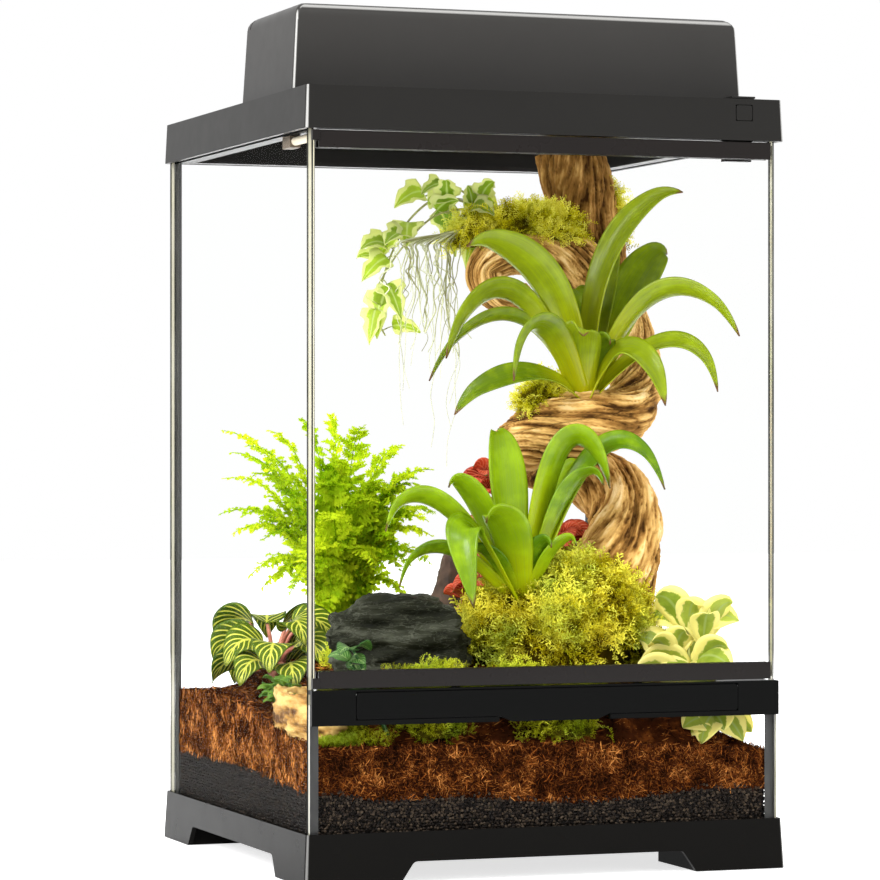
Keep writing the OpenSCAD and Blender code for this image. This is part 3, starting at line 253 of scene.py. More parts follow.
def blade(build, path, width, profile, tone=0.5, across=7, cup=0.3, wave=0.0, twist=0.0, phase=0.0,
          turned=0.0):
    """Leaf along a path: cup lifts its edges, wave ruffles them, turned shows its face to the door."""
    n = len(path)
    t = np.linspace(0, 1, n)
    tangent = unit(np.gradient(path, axis=0))
    flat = path[-1] - path[0]
    side = np.tile(unit([-flat[1], flat[0], 1e-4]), (n, 1))
    side = unit(side - (side * tangent).sum(1, keepdims=True) * tangent)
    broad = np.cross(tangent, TO_FRONT)
    broad *= np.sign((broad * side).sum() + 1e-9)
    side = unit((1 - turned) * side + turned * broad)
    up = np.cross(tangent, side)
    a = (twist * t)[:, None]
    side, up = np.cos(a) * side + np.sin(a) * up, np.cos(a) * up - np.sin(a) * side
    v = np.linspace(-1, 1, across)
    s = (width / 2 * profile(t))[:, None, None]
    lift = cup * (v**2)[None, :, None] * s
    ruffle = wave * (v**2 * np.sign(v))[None, :, None] * np.sin(11 * t + phase)[:, None, None]
    points = path[:, None] + v[None, :, None] * s * side[:, None] + (lift + ruffle) * up[:, None]
    leaf = np.stack(np.meshgrid(t, v, indexing="ij"), -1).reshape(-1, 2)
    build.add(points, grid_faces(n, across), tone, leaf)


def frames_at(normals, turn, rng):
    """Axes for pieces that grow along normals, each turned round its own and leaning a little."""
    z = unit(normals + turn * rng.normal(size=normals.shape))
    x = unit(np.cross(z, rng.normal(size=normals.shape)))
    return np.stack([x, np.cross(z, x), z], -1)


def scatter(build, shape, faces, at, axes, size, tone, leaf=None):
    """One shape at many places: axes are the columns of each copy's local frame."""
    n, k = len(at), len(shape)
    size = np.asarray(size, float).reshape(n, 1, -1)
    points = at[:, None] + np.einsum("nij,nkj->nki", axes, shape[None] * size)
    faces = np.asarray(faces)[None] + (np.arange(n) * k)[:, None, None]
    leaf = None if leaf is None else np.tile(leaf, (n, 1))
    build.add(points, faces.reshape(-1, faces.shape[-1]), np.repeat(tone, k), leaf)


def sampled(node, count, rng, down):
    """Places and normals spread over a solid's surface, where the normal's height is more than down."""
    mesh = nodes[node].data
    a, b, c = mesh_points(mesh)[triangles(mesh)].transpose(1, 0, 2)
    cross = np.cross(b - a, c - a)
    area = np.linalg.norm(cross, axis=1)
    pick = rng.choice(len(a), count, p=area / area.sum())
    u, v = rng.random((2, count, 1))
    swap = u + v > 1
    u, v = np.where(swap, 1 - u, u), np.where(swap, 1 - v, v)
    at = a[pick] + u * (b - a)[pick] + v * (c - a)[pick]
    normal = unit(cross[pick])
    ok = normal[:, 2] > down
    return at[ok], normal[ok]


# Materials


def put(tree, kind, inputs=None, **props):
    """New node, with its inputs linked to sockets or set to values."""
    n = tree.nodes.new(kind)
    for key, value in props.items():
        setattr(n, key, value)
    for key, value in (inputs or {}).items():
        if isinstance(value, bpy.types.NodeSocket):
            tree.links.new(value, n.inputs[key])
        else:
            n.inputs[key].default_value = value
    return n


class Paint:
    """Principled material built of nodes. Places are object coordinates, in metres."""

    def __init__(self, name, roughness=0.5, specular=0.5, metallic=0.0):
        self.material = bpy.data.materials.new(name)
        self.material.use_nodes = True
        self.tree = self.material.node_tree
        self.bsdf = self.tree.nodes["Principled BSDF"]
        coordinates = self.add("ShaderNodeTexCoord").outputs
        self.place, self.normal = coordinates["Object"], coordinates["Normal"]
        levels = {"Roughness": roughness, "Specular IOR Level": specular, "Metallic": metallic}
        for key, value in levels.items():
            self.bsdf.inputs[key].default_value = value

    def add(self, kind, inputs=None, **props):
        return put(self.tree, kind, inputs, **props)

    def noise(self, scale, detail=3, stretch=None, at=None):
        at = at or self.place
        if stretch:
            at = self.add("ShaderNodeMapping", {"Vector": at, "Scale": stretch}).outputs[0]
        inputs = {"Vector": at, "Scale": scale, "Detail": detail, "Roughness": 0.55}
        return self.add("ShaderNodeTexNoise", inputs).outputs["Fac"]

    def split(self, vector):
        return self.add("ShaderNodeSeparateXYZ", {0: vector}).outputs

    def leaf(self):
        """Place along the leaf, place across it and tone."""
        return self.split(self.add("ShaderNodeAttribute", attribute_name="leaf").outputs["Vector"])

    def math(self, operation, a, b=0.0):
        return self.add("ShaderNodeMath", {0: a, 1: b}, operation=operation).outputs[0]

    plus = partialmethod(math, "ADD")
    minus = partialmethod(math, "SUBTRACT")
    times = partialmethod(math, "MULTIPLY")
    higher = partialmethod(math, "MAXIMUM")
    absolute = partialmethod(math, "ABSOLUTE")

    def between(self, value, low, high, to_low=0.0, to_high=1.0):
        inputs = {"Value": value, "From Min": low, "From Max": high, "To Min": to_low, "To Max": to_high}
        return self.add("ShaderNodeMapRange", inputs).outputs[0]

    def drift(self, low, high, *look):
        """Noise that drifts from low to high."""
        return self.between(self.noise(*look), 0.3, 0.7, low, high)

    def ramp(self, value, *stops):
        n = self.add("ShaderNodeValToRGB", {"Fac": value})
        band = n.color_ramp.elements
        while len(band) < len(stops):
            band.new(0.5)
        for e, (at, colour) in zip(band, stops):
            e.position = at
            e.color = (*colour, 1)
        return n.outputs["Color"]

    def mix(self, share, a, b):
        inputs = {0: share}
        for key, value in ((6, a), (7, b)):
            inputs[key] = value if isinstance(value, bpy.types.NodeSocket) else (*value, 1)
        return self.add("ShaderNodeMix", inputs, data_type="RGBA").outputs[2]

    def feed(self, socket, value):
        self.tree.links.new(value, self.bsdf.inputs[socket])

    def bump(self, height, distance, strength=1.0):
        inputs = {"Height": height, "Distance": distance * MM, "Strength": strength}
        self.feed("Normal", self.add("ShaderNodeBump", inputs).outputs[0])
        return self.material

    def surface(self, share, a, b):
        """Shows a mix of two shaders."""
        mixed = self.add("ShaderNodeMixShader", {0: share, 1: a, 2: b}).outputs[0]
        self.tree.links.new(mixed, self.tree.nodes["Material Output"].inputs["Surface"])
        return self.material

    def glow_through(self, colour, share):
        """Adds the light that a thin leaf lets through."""
        thin = self.add("ShaderNodeBsdfTranslucent", {"Color": colour}).outputs[0]
        return self.surface(share, self.bsdf.outputs[0], thin)


def moulded(name, colour, roughness, level=0.3, upright_highlight=0.0, upper=0.0, shade_heights=None):
    """Moulded plastic: fine grain, a drift in gloss, painted highlights that pale its round edges, and, where
    heights are given, painted shade that darkens it towards the lower one.
    """
    m = Paint(name, roughness, level)
    x, y, z = m.split(m.normal)
    x, y = m.absolute(x), m.absolute(y)
    # Painted highlights: side and top pick the round upright edges (normal along x and y) and round top edges
    # (normal along y and z), mixed towards white by the upright and upper shares.
    side = m.between(m.times(x, y), 0.36, 0.5, 0, upright_highlight)
    top = m.between(m.times(y, z), 0.44, 0.5, 0, upper)
    body = m.mix(m.noise(14, 4), *([c * k for c in colour] for k in (0.92, 1.1)))
    # Painted shade: below the given heights the colour is mixed towards black, up to 0.4 at the lower one.
    if shade_heights:
        body = m.mix(m.between(m.split(m.place)[2], *shade_heights, 0.4, 0.0), body, (0, 0, 0))
    m.feed("Base Color", m.mix(m.plus(side, top), body, (1, 0.99, 0.96)))
    m.feed("Roughness", m.drift(roughness - 0.02, roughness + 0.03, 60, 3))
    return m.bump(m.noise(1900, 2), 0.025, 0.3)


def clear_pane(name, across, core):
    """Float glass: clear with faint reflections, and dark at its edges round a light core."""
    m = Paint(name, 0.03)
    face = m.math("GREATER_THAN", m.absolute(m.split(m.normal)[across]), 0.7)
    facing = m.add("ShaderNodeLayerWeight", {"Blend": 0.5}).outputs["Facing"]
    shine = m.times(m.math("POWER", facing, 4.0), m.drift(0.006, 0.012, 9, 2))
    off = m.absolute(m.minus(m.absolute(m.split(m.place)[across]), core * MM))
    light = m.times(m.between(off, 0.0007, 0.0011, 0.62, 0.0), m.drift(0.75, 1.0, 12, 3, (1, 1, 0.4)))
    m.feed("Alpha", m.drift(0.9, 1.0, 30, 2))
    m.feed("Base Color", m.mix(light, (0.018, 0.019, 0.014), (0.86, 0.82, 0.62)))
    clear = m.add("ShaderNodeBsdfTransparent", {"Color": (0.9985, 1, 0.999, 1)}).outputs[0]
    gloss = m.add("ShaderNodeBsdfGlossy", {"Color": (1, 1, 1, 1), "Roughness": 0.02}).outputs[0]
    sheet = m.add("ShaderNodeMixShader", {0: shine, 1: clear, 2: gloss}).outputs[0]
    return m.surface(face, m.bsdf.outputs[0], sheet)


def metal(name, colour, roughness):
    m = Paint(name, roughness, metallic=1.0)
    fine = m.noise(900, 3, (1, 1, 8))
    m.feed("Base Color", m.mix(fine, [c * 0.85 for c in colour], colour))
    m.feed("Roughness", m.between(fine, 0.3, 0.7, roughness - 0.06, roughness + 0.08))
    return m.bump(fine, 0.02, 0.3)


def plain(name, low, high, roughness, scale, bump=0.1):
    m = Paint(name, roughness)
    m.feed("Base Color", m.ramp(m.noise(scale, 5), (0.3, low), (0.7, high)))
    return m.bump(m.noise(scale * 3, 5), bump, 0.6)


def leafy(name, low, high, roughness=0.4, through=0.35, veins=None, rib=None, edge=None, tip=None,
          base=None, streaks=0.25, bold=0.0, gloss=0.35):
    """Leaf material: tone picks its green. Veins, a rib, an edge, a tip and a base can have colours too."""
    m = Paint(name, roughness, gloss)
    u, v, tone = m.leaf()
    away = m.absolute(v)
    colour = m.mix(tone, low, high)
    if base:
        colour = m.mix(m.between(u, 0.42, 0.04, 0, 0.9), colour, base)
    along = m.add("ShaderNodeCombineXYZ", {0: m.times(u, 3.0), 1: m.times(v, 22.0), 2: m.times(tone, 50.0)})
    height = lines = m.noise(1.0, 4, at=along.outputs[0])
    colour = m.mix(m.between(lines, 0.35, 0.7, 0, streaks), colour, [c * 0.45 for c in low])
    patch = m.noise(90, 3)
    colour = m.mix(m.between(patch, 0.45, 0.75, 0, 0.35), colour, [min(1, c * 1.5) for c in high])
    if veins:
        wave = m.plus(m.times(u, 46.0), m.times(away, -17.0))
        wave = m.math("SINE", m.plus(wave, m.times(patch, 2.2)))
        net = m.times(m.between(wave, 0.62 - bold, 0.92 - bold), m.between(away, 0.97, 0.8))
        net = m.higher(net, m.between(away, 0.1 + 0.1 * bold, 0.03))
        colour = m.mix(net, colour, veins)
        height = m.minus(lines, net)
    if rib:
        colour = m.mix(m.between(away, 0.12, 0.02, 0, 0.8), colour, rib)
    if edge:
        wobble = m.plus(away, m.times(m.noise(130, 4), 0.9))
        colour = m.mix(m.between(wobble, 0.92, 1.0), colour, edge)
    if tip:
        colour = m.mix(m.between(m.plus(u, m.times(away, 0.02)), 0.975, 1.0), colour, tip)
    m.feed("Base Color", colour)
    m.feed("Roughness", m.between(lines, 0.3, 0.7, roughness - 0.05, roughness + 0.1))
    m.bump(height, 0.12, 0.5)
    return m.glow_through(colour, through)


def tufted(name, dark, mid, light, through=0.3, lush=0.8):
    """Moss and fine strands: dark at the root, light at the tip, with greener patches where it is lush."""
    m = Paint(name, 0.8, 0.03)
    u, _, tone = m.leaf()
    mixed = m.plus(m.plus(m.times(tone, 0.65), m.times(u, 0.35)), m.drift(-0.22, 0.22, 55, 3))
    colour = m.ramp(mixed, (0.18, dark), (0.48, mid), (0.87, light))
    greener = ([r * 0.5, g * 0.7, b] for r, g, b in (dark, mid, light))
    deep = m.ramp(mixed, *zip((0.2, 0.55, 0.95), greener))
    colour = m.mix(m.between(m.noise(32, 4), 0.42, 0.62, 0.0, lush), colour, deep)
    m.feed("Base Color", colour)
    m.bump(m.noise(1500, 2), 0.05, 0.4)
    return m.glow_through(colour, through)


# One black plastic, given a different base colour on each part as painted light and shade: lightest on the
# hood, darker on the rim and base frame, darkest on the vent bar. The upright and upper shares paint
# highlights on their round edges.
hood_black = moulded("hood_black", (0.026, 0.0248, 0.0232), 0.32, 0.125, 0.34, 0.26, HOOD_SHADE_HEIGHTS)
rim_black = moulded("rim_black", (0.0115, 0.011, 0.0102), 0.3, 0.075, 0.3, 0.12)
bar_black = moulded("bar_black", (0.0022, 0.0023, 0.0022), 0.3, 0.042, 0.45, 0.2)
# Distances of the panes' middle from the origin, in millimetres
SIDE_CORE, FLOOR_CORE = 151.7, 25
front_pane = clear_pane("front_pane", 1, SIDE_CORE)
floor_pane = clear_pane("floor_pane", 2, FLOOR_CORE)
paints = {"clear_glass": clear_pane("side_pane", 0, SIDE_CORE)}
for make, slot, *look in (
    # Base frame: darker base colour as painted shade, with painted highlights on its round edges.
    (moulded, "frame_plastic", (0.0045, 0.0042, 0.0038), 0.25, 0.025, 0.15, 0.2),
    (moulded, "rail_plastic", (0.008, 0.0065, 0.006), 0.28, 0.12),
    (moulded, "bracket_plastic", (0.10, 0.075, 0.05), 0.5),
    (moulded, "sleeve", (0.62, 0.55, 0.42), 0.5),
    (metal, "steel", (0.62, 0.62, 0.61), 0.3),
    (metal, "reflector", (0.86, 0.86, 0.85), 0.16),
    (metal, "cap_metal", (0.75, 0.75, 0.74), 0.25),
    (plain, "silicone", (0.012, 0.012, 0.012), (0.022, 0.022, 0.021), 0.5, 60, 0.3),
    (plain, "mesh_wire", (0.012, 0.012, 0.012), (0.03, 0.03, 0.03), 0.45, 800, 0.05),
    (plain, "socket_white", (0.72, 0.71, 0.67), (0.80, 0.79, 0.75), 0.3, 120, 0.05),
    (plain, "lamp_glass", (0.86, 0.84, 0.79), (0.92, 0.90, 0.86), 0.12, 40, 0.02),
    (plain, "gland_rubber", (0.012, 0.012, 0.012), (0.025, 0.025, 0.025), 0.65, 300, 0.1),
):
    paints[slot] = make(slot, *look)

# Rounded edges and smooth curves on the plastic and glass solids


def soft_shading():
    """Node group that smooths a solid's curved faces and keeps its real edges sharp."""
    tree = bpy.data.node_groups.new("soft_shading", "GeometryNodeTree")
    for way in ("INPUT", "OUTPUT"):
        tree.interface.new_socket("Geometry", in_out=way, socket_type="NodeSocketGeometry")
    start = put(tree, "NodeGroupInput").outputs[0]
    bare = put(tree, "GeometryNodeRemoveAttribute", {"Geometry": start, "Name": "custom_normal"})
    faces = put(tree, "GeometryNodeSetShadeSmooth", {"Geometry": bare.outputs[0]})
    angle = put(tree, "GeometryNodeInputMeshEdgeAngle").outputs["Unsigned Angle"]
    wide = put(tree, "FunctionNodeCompare", {"A": angle, "B": math.radians(32)}, operation="GREATER_THAN")
    inputs = {"Geometry": faces.outputs[0], "Selection": wide.outputs[0], "Shade Smooth": False}
    edges = put(tree, "GeometryNodeSetShadeSmooth", inputs, domain="EDGE")
    put(tree, "NodeGroupOutput", {0: edges.outputs[0]})
    return tree


# Widths of the rounded edges, in millimetres
BEVELS = {
    "base_frame": 0.6, "top_frame": 0.6, "vent_bar": 0.5, "latch_plate": 0.6, "door_top_rail": 0.4,
    "door_bottom_rail": 0.4, "latch_button": 0.6, "screen_frame": 0.5,
    "hinge_caps": 0.3, "corner_bracket": 0.6, "door_glass": 0.25, "front_lower_glass": 0.25,
}
shading = soft_shading()
for entry in frame["record"]["subparts"]:
    name, slot = entry["node"], entry["material_slot"]
    if slot not in paints:
        continue
    solid = nodes[name]
    solid.material_slots[0].material = paints[slot]
    modify(solid, "WELD", merge_threshold=0.01 * MM)
    if name in BEVELS:
        modify(solid, "BEVEL", width=BEVELS[name] * MM, segments=2, limit_method="ANGLE",
               angle_limit=math.radians(50), use_clamp_overlap=True)
    modify(solid, "NODES", node_group=shading)
    modify(solid, "WEIGHTED_NORMAL", keep_sharp=True)
for material, names in (
    (hood_black, ("hood_shell", "hood_back", "hood_top")),
    (rim_black, ("top_frame", "screen_frame", "latch_button")),
    (bar_black, ("vent_bar", "latch_plate")),
    (front_pane, ("back_glass", "front_lower_glass", "door_glass")),
    (floor_pane, ("bottom_glass",)),
):
    for name in names:
        nodes[name].material_slots[0].material = material

# Ground: granules, soil, chips

# Heights over the floor: the soil at the front and back edges, and the granules
FRONT_SOIL, EDGE_SOIL, DRAIN = 55, 73, 24
# Gaps between granules along and up a pane, and how many crumbs lie by each pane and on top
GRAIN_GAPS = (2.1, 1.9)
SIDE_CRUMBS, TOP_CRUMBS = 15000, 34000


def lie(x, y):
    """Height of the soil, as in the solid: a plateau that falls away to the glass."""
    edge = FRONT_SOIL + (EDGE_SOIL - FRONT_SOIL) * ease((y / HALF + 1) / 1.3)
    rise = ease((HALF - np.abs(x) - 20) / 32) * ease((y + HALF - 6) / 32) * ease((HALF - y) / 60)
    edge = edge - np.where(x > 0, 8 * x / HALF, 0)
    return FLOOR + edge + (PLATEAU - FLOOR - edge) * rise + clods(x, y)


# Clods that stand out of the soil: place, radii and height
CLODS = [
    (-24, -138, 8, 5, 5), (58, -136, 8, 6, 5), (84, -137, 6, 5, 4), (136, -128, 6, 6, 4),
    (-140, 8, 5, 8, 4), (-139, 34, 6, 6, 5), (-140, 86, 5, 8, 4), (-112, 112, 8, 6, 4), (-70, 124, 7, 6, 3),
    (28, 126, 8, 6, 4), (76, 118, 7, 7, 4), (120, 96, 8, 6, 4), (137, 40, 6, 8, 5), (136, -8, 6, 7, 4),
    (137, -62, 5, 8, 4), (104, 34, 7, 6, 3), (24, 66, 6, 7, 3), (-104, 84, 6, 6, 3),
]


def clods(x, y):
    total = np.zeros(np.shape(x))
    for cx, cy, rx, ry, h in CLODS:
        away = np.hypot((x - cx) / rx, (y - cy) / ry)
        total = np.maximum(total, h * ease((1.15 - away) / 0.75))
    return total


def drain_lie(x, y):
    ripple = 3 * np.sin(np.radians(1.9 * x + 40)) * np.cos(np.radians(1.3 * y))
    return FLOOR + DRAIN + ripple + 5 * ease(y / HALF) + 9 * ease((-x - 100) / 40) - 1


def on_side(k, s, depth, z):
    """Place beside pane k: s runs along it and depth is the distance behind it."""
    d = HALF - depth
    x = (s, s, -d, d)[k] + 0 * z
    y = (-d, d, s, s)[k] + 0 * z
    return np.stack([x, y, z + 0 * s], -1)


def rounded_grain():
    """A lumpy grain of radius 1: a twelve-point ball, whose neighbours are nearer than 1.1."""
    g = (1 + 5**0.5) / 2
    p = unit([np.roll(at, k) for k in range(3) for at in ([-1, g, 0], [1, g, 0], [-1, -g, 0], [1, -g, 0])])
    faces = []
    for ring in combinations(range(12), 3):
        a, b, c = p[list(ring)]
        if max(np.linalg.norm(s) for s in (a - b, b - c, c - a)) < 1.1:
            faces.append(ring if np.dot(np.cross(b - a, c - a), a) > 0 else ring[::-1])
    return p, np.array(faces)


GRAIN, GRAIN_FACES = rounded_grain()
CHIP = np.array([[-1, 0, 0], [-0.3, 1, 0.2], [0.5, 0.7, 0], [1, 0, 0.1], [0.3, -0.9, 0], [-0.5, -0.7, 0.3],
                 [0, 0, 1], [0, 0, -1]])
CHIP_FACES = [[i, (i + 1) % 6, 6] for i in range(6)] + [[(i + 1) % 6, i, 7] for i in range(6)]


def granules():
    rng = np.random.default_rng(11)
    build = Build()
    for k in range(4):
        for depth, share in ((1.3, 1.0), (1.9, 0.8)):
            s, z = np.meshgrid(np.arange(4 - HALF, HALF - 4, GRAIN_GAPS[0]),
                               np.arange(FLOOR + 1.2, FLOOR + 33, GRAIN_GAPS[1]))
            s = s + rng.uniform(-0.7, 0.7, s.shape) + 1.1 * (np.arange(len(s)) % 2)[:, None]
            z = z + rng.uniform(-0.6, 0.6, z.shape)
            s, z = s.ravel(), z.ravel()
            at = on_side(k, s, depth + rng.uniform(-0.1, 0.3, len(s)), z)
            top = drain_lie(at[:, 0], at[:, 1]) - 1 + rng.uniform(-2.5, 2.5, len(s))
            at = at[(z < top) & (rng.random(len(s)) < share)]
            n = len(at)
            axes = frames_at(rng.normal(size=(n, 3)), 0.2, rng)
            size = rng.uniform(0.85, 1.15, (n, 1)) * rng.uniform(0.88, 1.1, (n, 3))
            scatter(build, GRAIN, GRAIN_FACES, at, axes, size, rng.random(n))
        # A sheet just behind the grains at tone 0, the darkest in the ramp: painted shade in the gaps between
        # the grains.
        s = np.linspace(3 - HALF, HALF - 3, 60)
        low = on_side(k, s, 2.3, np.full(60, FLOOR + 0.3))
        high = low.copy()
        high[:, 2] = drain_lie(high[:, 0], high[:, 1]) - 0.5
        build.add([*low, *high], grid_faces(2, 60), 0.0)
    m = Paint("granules", 0.5, 0.1)
    tone = m.plus(m.leaf()[2], m.drift(-0.3, 0.3, 700, 3))
    # Painted shade: the granules by the left pane are darkened, against the light that falls on them from the
    # left.
    tone = m.minus(tone, m.between(m.split(m.place)[0], *LEFT_PANE_LIGHT_AND_SHADE, 0.3, 0.0))
    m.feed("Base Color", m.ramp(
        tone, (0.05, (0.003, 0.0022, 0.0018)), (0.6, (0.013, 0.009, 0.0065)), (0.97, (0.050, 0.036, 0.024))))
    build.piece("drainage_granules", m.bump(m.noise(2600, 3), 0.2, 0.6), ["drainage_layer"], "granules")


def fibre(bend):
    """A bent fibre, 2 long and 2 wide, in three short ribbons."""
    t = np.linspace(-1, 1, 4)
    middle = np.stack([t, bend * t**2, 0.5 * bend * np.sin(2 * t)], 1)
    wide = np.array([0.4, 1, 1, 0.2])[:, None] * [0, 1, 0.35]
    return np.concatenate([middle + wide, middle - wide]), grid_faces(2, 4)


def crumbs(build, rng, at, normal, lean, length, width, thick):
    """Bark chips and fibres that lie along a surface: a quarter are chips."""
    n = len(at)
    axes = frames_at(np.tile(normal, (n, 1)), lean, rng)
    pick = rng.random(n)
    size = np.stack([length * (0.35 + pick**2), width * rng.uniform(0.4, 1.3, n), np.full(n, thick)], 1)
    tone = rng.random(n)
    kind = rng.random(n) / 0.75 * 4
    for i, bend in enumerate((0.45, -0.35, 0.2, -0.7)):
        mine = (kind >= i) & (kind < i + 1)
        slim = size[mine] * [1.35, 0.35, 1]
        slim[:, 2] = slim[:, 0] * 0.25
        scatter(build, *fibre(bend), at[mine], axes[mine], slim, tone[mine])
    mine = kind >= 4
    scatter(build, CHIP, CHIP_FACES, at[mine], axes[mine], size[mine] * [0.7, 0.9, 1], tone[mine] * 0.7)


def soil():
    rng = np.random.default_rng(21)
    build = Build()
    n, inset = 150, 1.2
    g = np.linspace(inset - HALF, HALF - inset, n)
    x, y = (a.ravel() for a in np.meshgrid(g, g))
    p = np.stack([x, y, 0 * x], 1)
    rough = fbm(p / 12, 4, 3) + 0.35 * noise(p / 2.1, 9)
    build.add(np.stack([x, y, lie(x, y) - 0.9 + rough], 1), grid_faces(n, n), 0.3)
    for k, out in enumerate(([0, -1, 0], [0, 1, 0], [-1, 0, 0], [1, 0, 0])):
        s, share = np.meshgrid(np.linspace(inset - HALF, HALF - inset, 170), np.linspace(0, 1, 26))
        s, share = s.ravel(), share.ravel()
        x, y, _ = on_side(k, s, inset, 0 * s).T
        low, high = drain_lie(x, y) - 3, lie(x, y) - 0.1
        z = low + share * (high - low)
        depth = inset + 0.7 * np.abs(fbm(np.stack([s / 5, z / 4, 0 * s + 7 * k], 1), 3, 5))
        build.add(on_side(k, s, depth, z), grid_faces(26, 170), 0.22)
        s = rng.uniform(3.5 - HALF, HALF - 3.5, SIDE_CRUMBS)
        at = on_side(k, s, rng.uniform(0.5, 1.3, SIDE_CRUMBS), 0 * s)
        low, high = drain_lie(at[:, 0], at[:, 1]) - 1.5, lie(at[:, 0], at[:, 1]) - 0.3
        at[:, 2] = low + rng.random(SIDE_CRUMBS) * (high - low) + rng.normal(0, 0.8, SIDE_CRUMBS)
        crumbs(build, rng, at, out, 0.12, 2.2, 0.55, 0.3)
    at = rng.uniform(5 - HALF, HALF - 5, (TOP_CRUMBS, 3))
    at[:, 2] = lie(at[:, 0], at[:, 1]) - 0.5 + rng.uniform(-0.5, 0.9, TOP_CRUMBS)
    crumbs(build, rng, at, [0, 0, 1], 0.35, 2.4, 0.7, 0.5)
    m = Paint("forest_soil", 0.9, 0.02)
    tone = m.plus(m.times(m.leaf()[2], 0.75), m.between(m.noise(70, 5), 0.35, 0.65, -0.2, 0.3))
    # Painted light: the soil by the left pane is painted lighter, standing for the light from the left.
    tone = m.plus(tone, m.between(m.split(m.place)[0], *LEFT_PANE_LIGHT_AND_SHADE, 0.17, 0.0))
    m.feed("Base Color", m.ramp(
        tone, (0.0, (0.010, 0.003, 0.001)), (0.35, (0.042, 0.011, 0.003)), (0.68, (0.19, 0.053, 0.009)),
        (1.0, (0.60, 0.25, 0.06))))
    build.piece("soil_and_bark", m.bump(m.noise(1500, 4), 0.35, 0.8), ["soil_layer"], "soil")


granules()
soil()

# Stones and bark


def carved(name, node, voxel, material, slot, height, scale, stretch, seed, ledges=0.0, grow=1.0,
           shift=(0, 0, 0)):
    """Detailed copy of a solid: remeshed, then broken up by noise, with flat ledges if asked."""
    obj = placed(name, nodes[node].data.copy())
    modify(obj, "REMESH", mode="VOXEL", voxel_size=voxel * MM)
    mesh = bpy.data.meshes.new_from_object(obj.evaluated_get(bpy.context.evaluated_depsgraph_get()))
    bpy.data.objects.remove(obj)
    co = mesh_points(mesh)
    normal = np.array([v.normal for v in mesh.vertices])
    p = co * stretch / scale
    rough = fbm(p, 5, seed, 0.55)
    steps = np.floor(p[:, 2] * 2.4 + 0.6 * noise(p * 0.6, seed + 7)).astype(np.int64)
    cut = ledges * (lattice(steps, 0 * steps, 0, seed) - 0.6)
    co = co + normal * (height * (rough - 0.45) + cut)[:, None]
    middle = (co.min(0) + co.max(0)) / 2
    co = middle + (co - middle) * grow + shift
    co[:, 0] = np.maximum(co[:, 0], PANE_GAP - HALF)
    build = Build()
    # Tone follows the noise that moves the surface: lower where it sinks, higher where it rises, so hollows
    # are painted darker (painted shade) and bumps paler (painted light).
    build.add(co, [f.vertices[:] for f in mesh.polygons], 0.5 + 0.5 * rough)
    build.piece(name, material, [node], slot)


def slate_paint():
    m = Paint("slate", 0.6, 0.12)
    bands = m.noise(26, 5, (1, 1, 4))
    cracks = m.noise(150, 6, (0.6, 1, 2.2))
    scratch = m.between(m.absolute(m.minus(cracks, 0.5)), 0.0, 0.03, 0.25, 0)
    # The carved tone darkens hollows and pales bumps: painted shade and painted light.
    tone = m.plus(bands, m.between(m.leaf()[2], 0, 1, -0.12, 0.12))
    tone = m.plus(tone, scratch)
    m.feed("Base Color", m.ramp(
        tone, (0.3, (0.0045, 0.005, 0.0028)), (0.55, (0.012, 0.013, 0.0062)), (0.8, (0.08, 0.084, 0.06))))
    return m.bump(m.minus(cracks, scratch), 1.3)


def tan_stone():
    m = Paint("tan_stone", 0.6, 0.15)
    # The carved tone darkens hollows and pales bumps: painted shade and painted light.
    bands = m.plus(m.noise(34, 6, (1, 1, 4.5)), m.between(m.leaf()[2], 0, 1, -0.25, 0.25))
    m.feed("Base Color", m.ramp(
        bands, (0.3, (0.085, 0.035, 0.009)), (0.48, (0.36, 0.19, 0.045)), (0.7, (0.66, 0.44, 0.15))))
    return m.bump(m.noise(500, 5), 0.6, 0.8)


carved("slate", "slate_rock", 1.6, slate_paint(), "slate", 3.2, 15, (0.6, 1, 2.2), 4, 2.2)
carved("stone_dish", "water_dish", 1.3, tan_stone(), "dish_stone", 2.2, 11, (1, 1, 2.6), 6, 1.5,
       grow=(0.8, 1.12, 1.25), shift=(-9, 10, 1))

# Liana wood: a thick vine of twisted strands, as places on its way and its radii there

LIANA = [
    (72, -44, 116), (80, -45, 160), (94, -42, 194), (102, -26, 224), (90, 6, 246), (60, 16, 256),
    (39, -8, 264), (42, -40, 272), (62, -56, 277), (92, -50, 284), (112, -26, 300), (120, 0, 325),
    (117, 16, 352), (100, 16, 374), (74, 8, 388), (48, 0, 393), (25, -5, 388), (12, -8, 374),
    (22, -12, 361), (40, -13, 360),
]
LIANA_R = [28, 28, 26, 24, 21, 20, 20, 20, 21, 19, 17, 16, 17, 18, 18, 17, 15, 12, 11, 9]
STUB = [[113, 20, 360], [108, 27, 392], [99, 36, 425], [92, 44, 462]]
STUB_R = [14, 19, 22, 21]
STRANDS, STRAND_TURN = 4, math.radians(27)
VINE_STEPS, VINE_SIDES = 24, 144


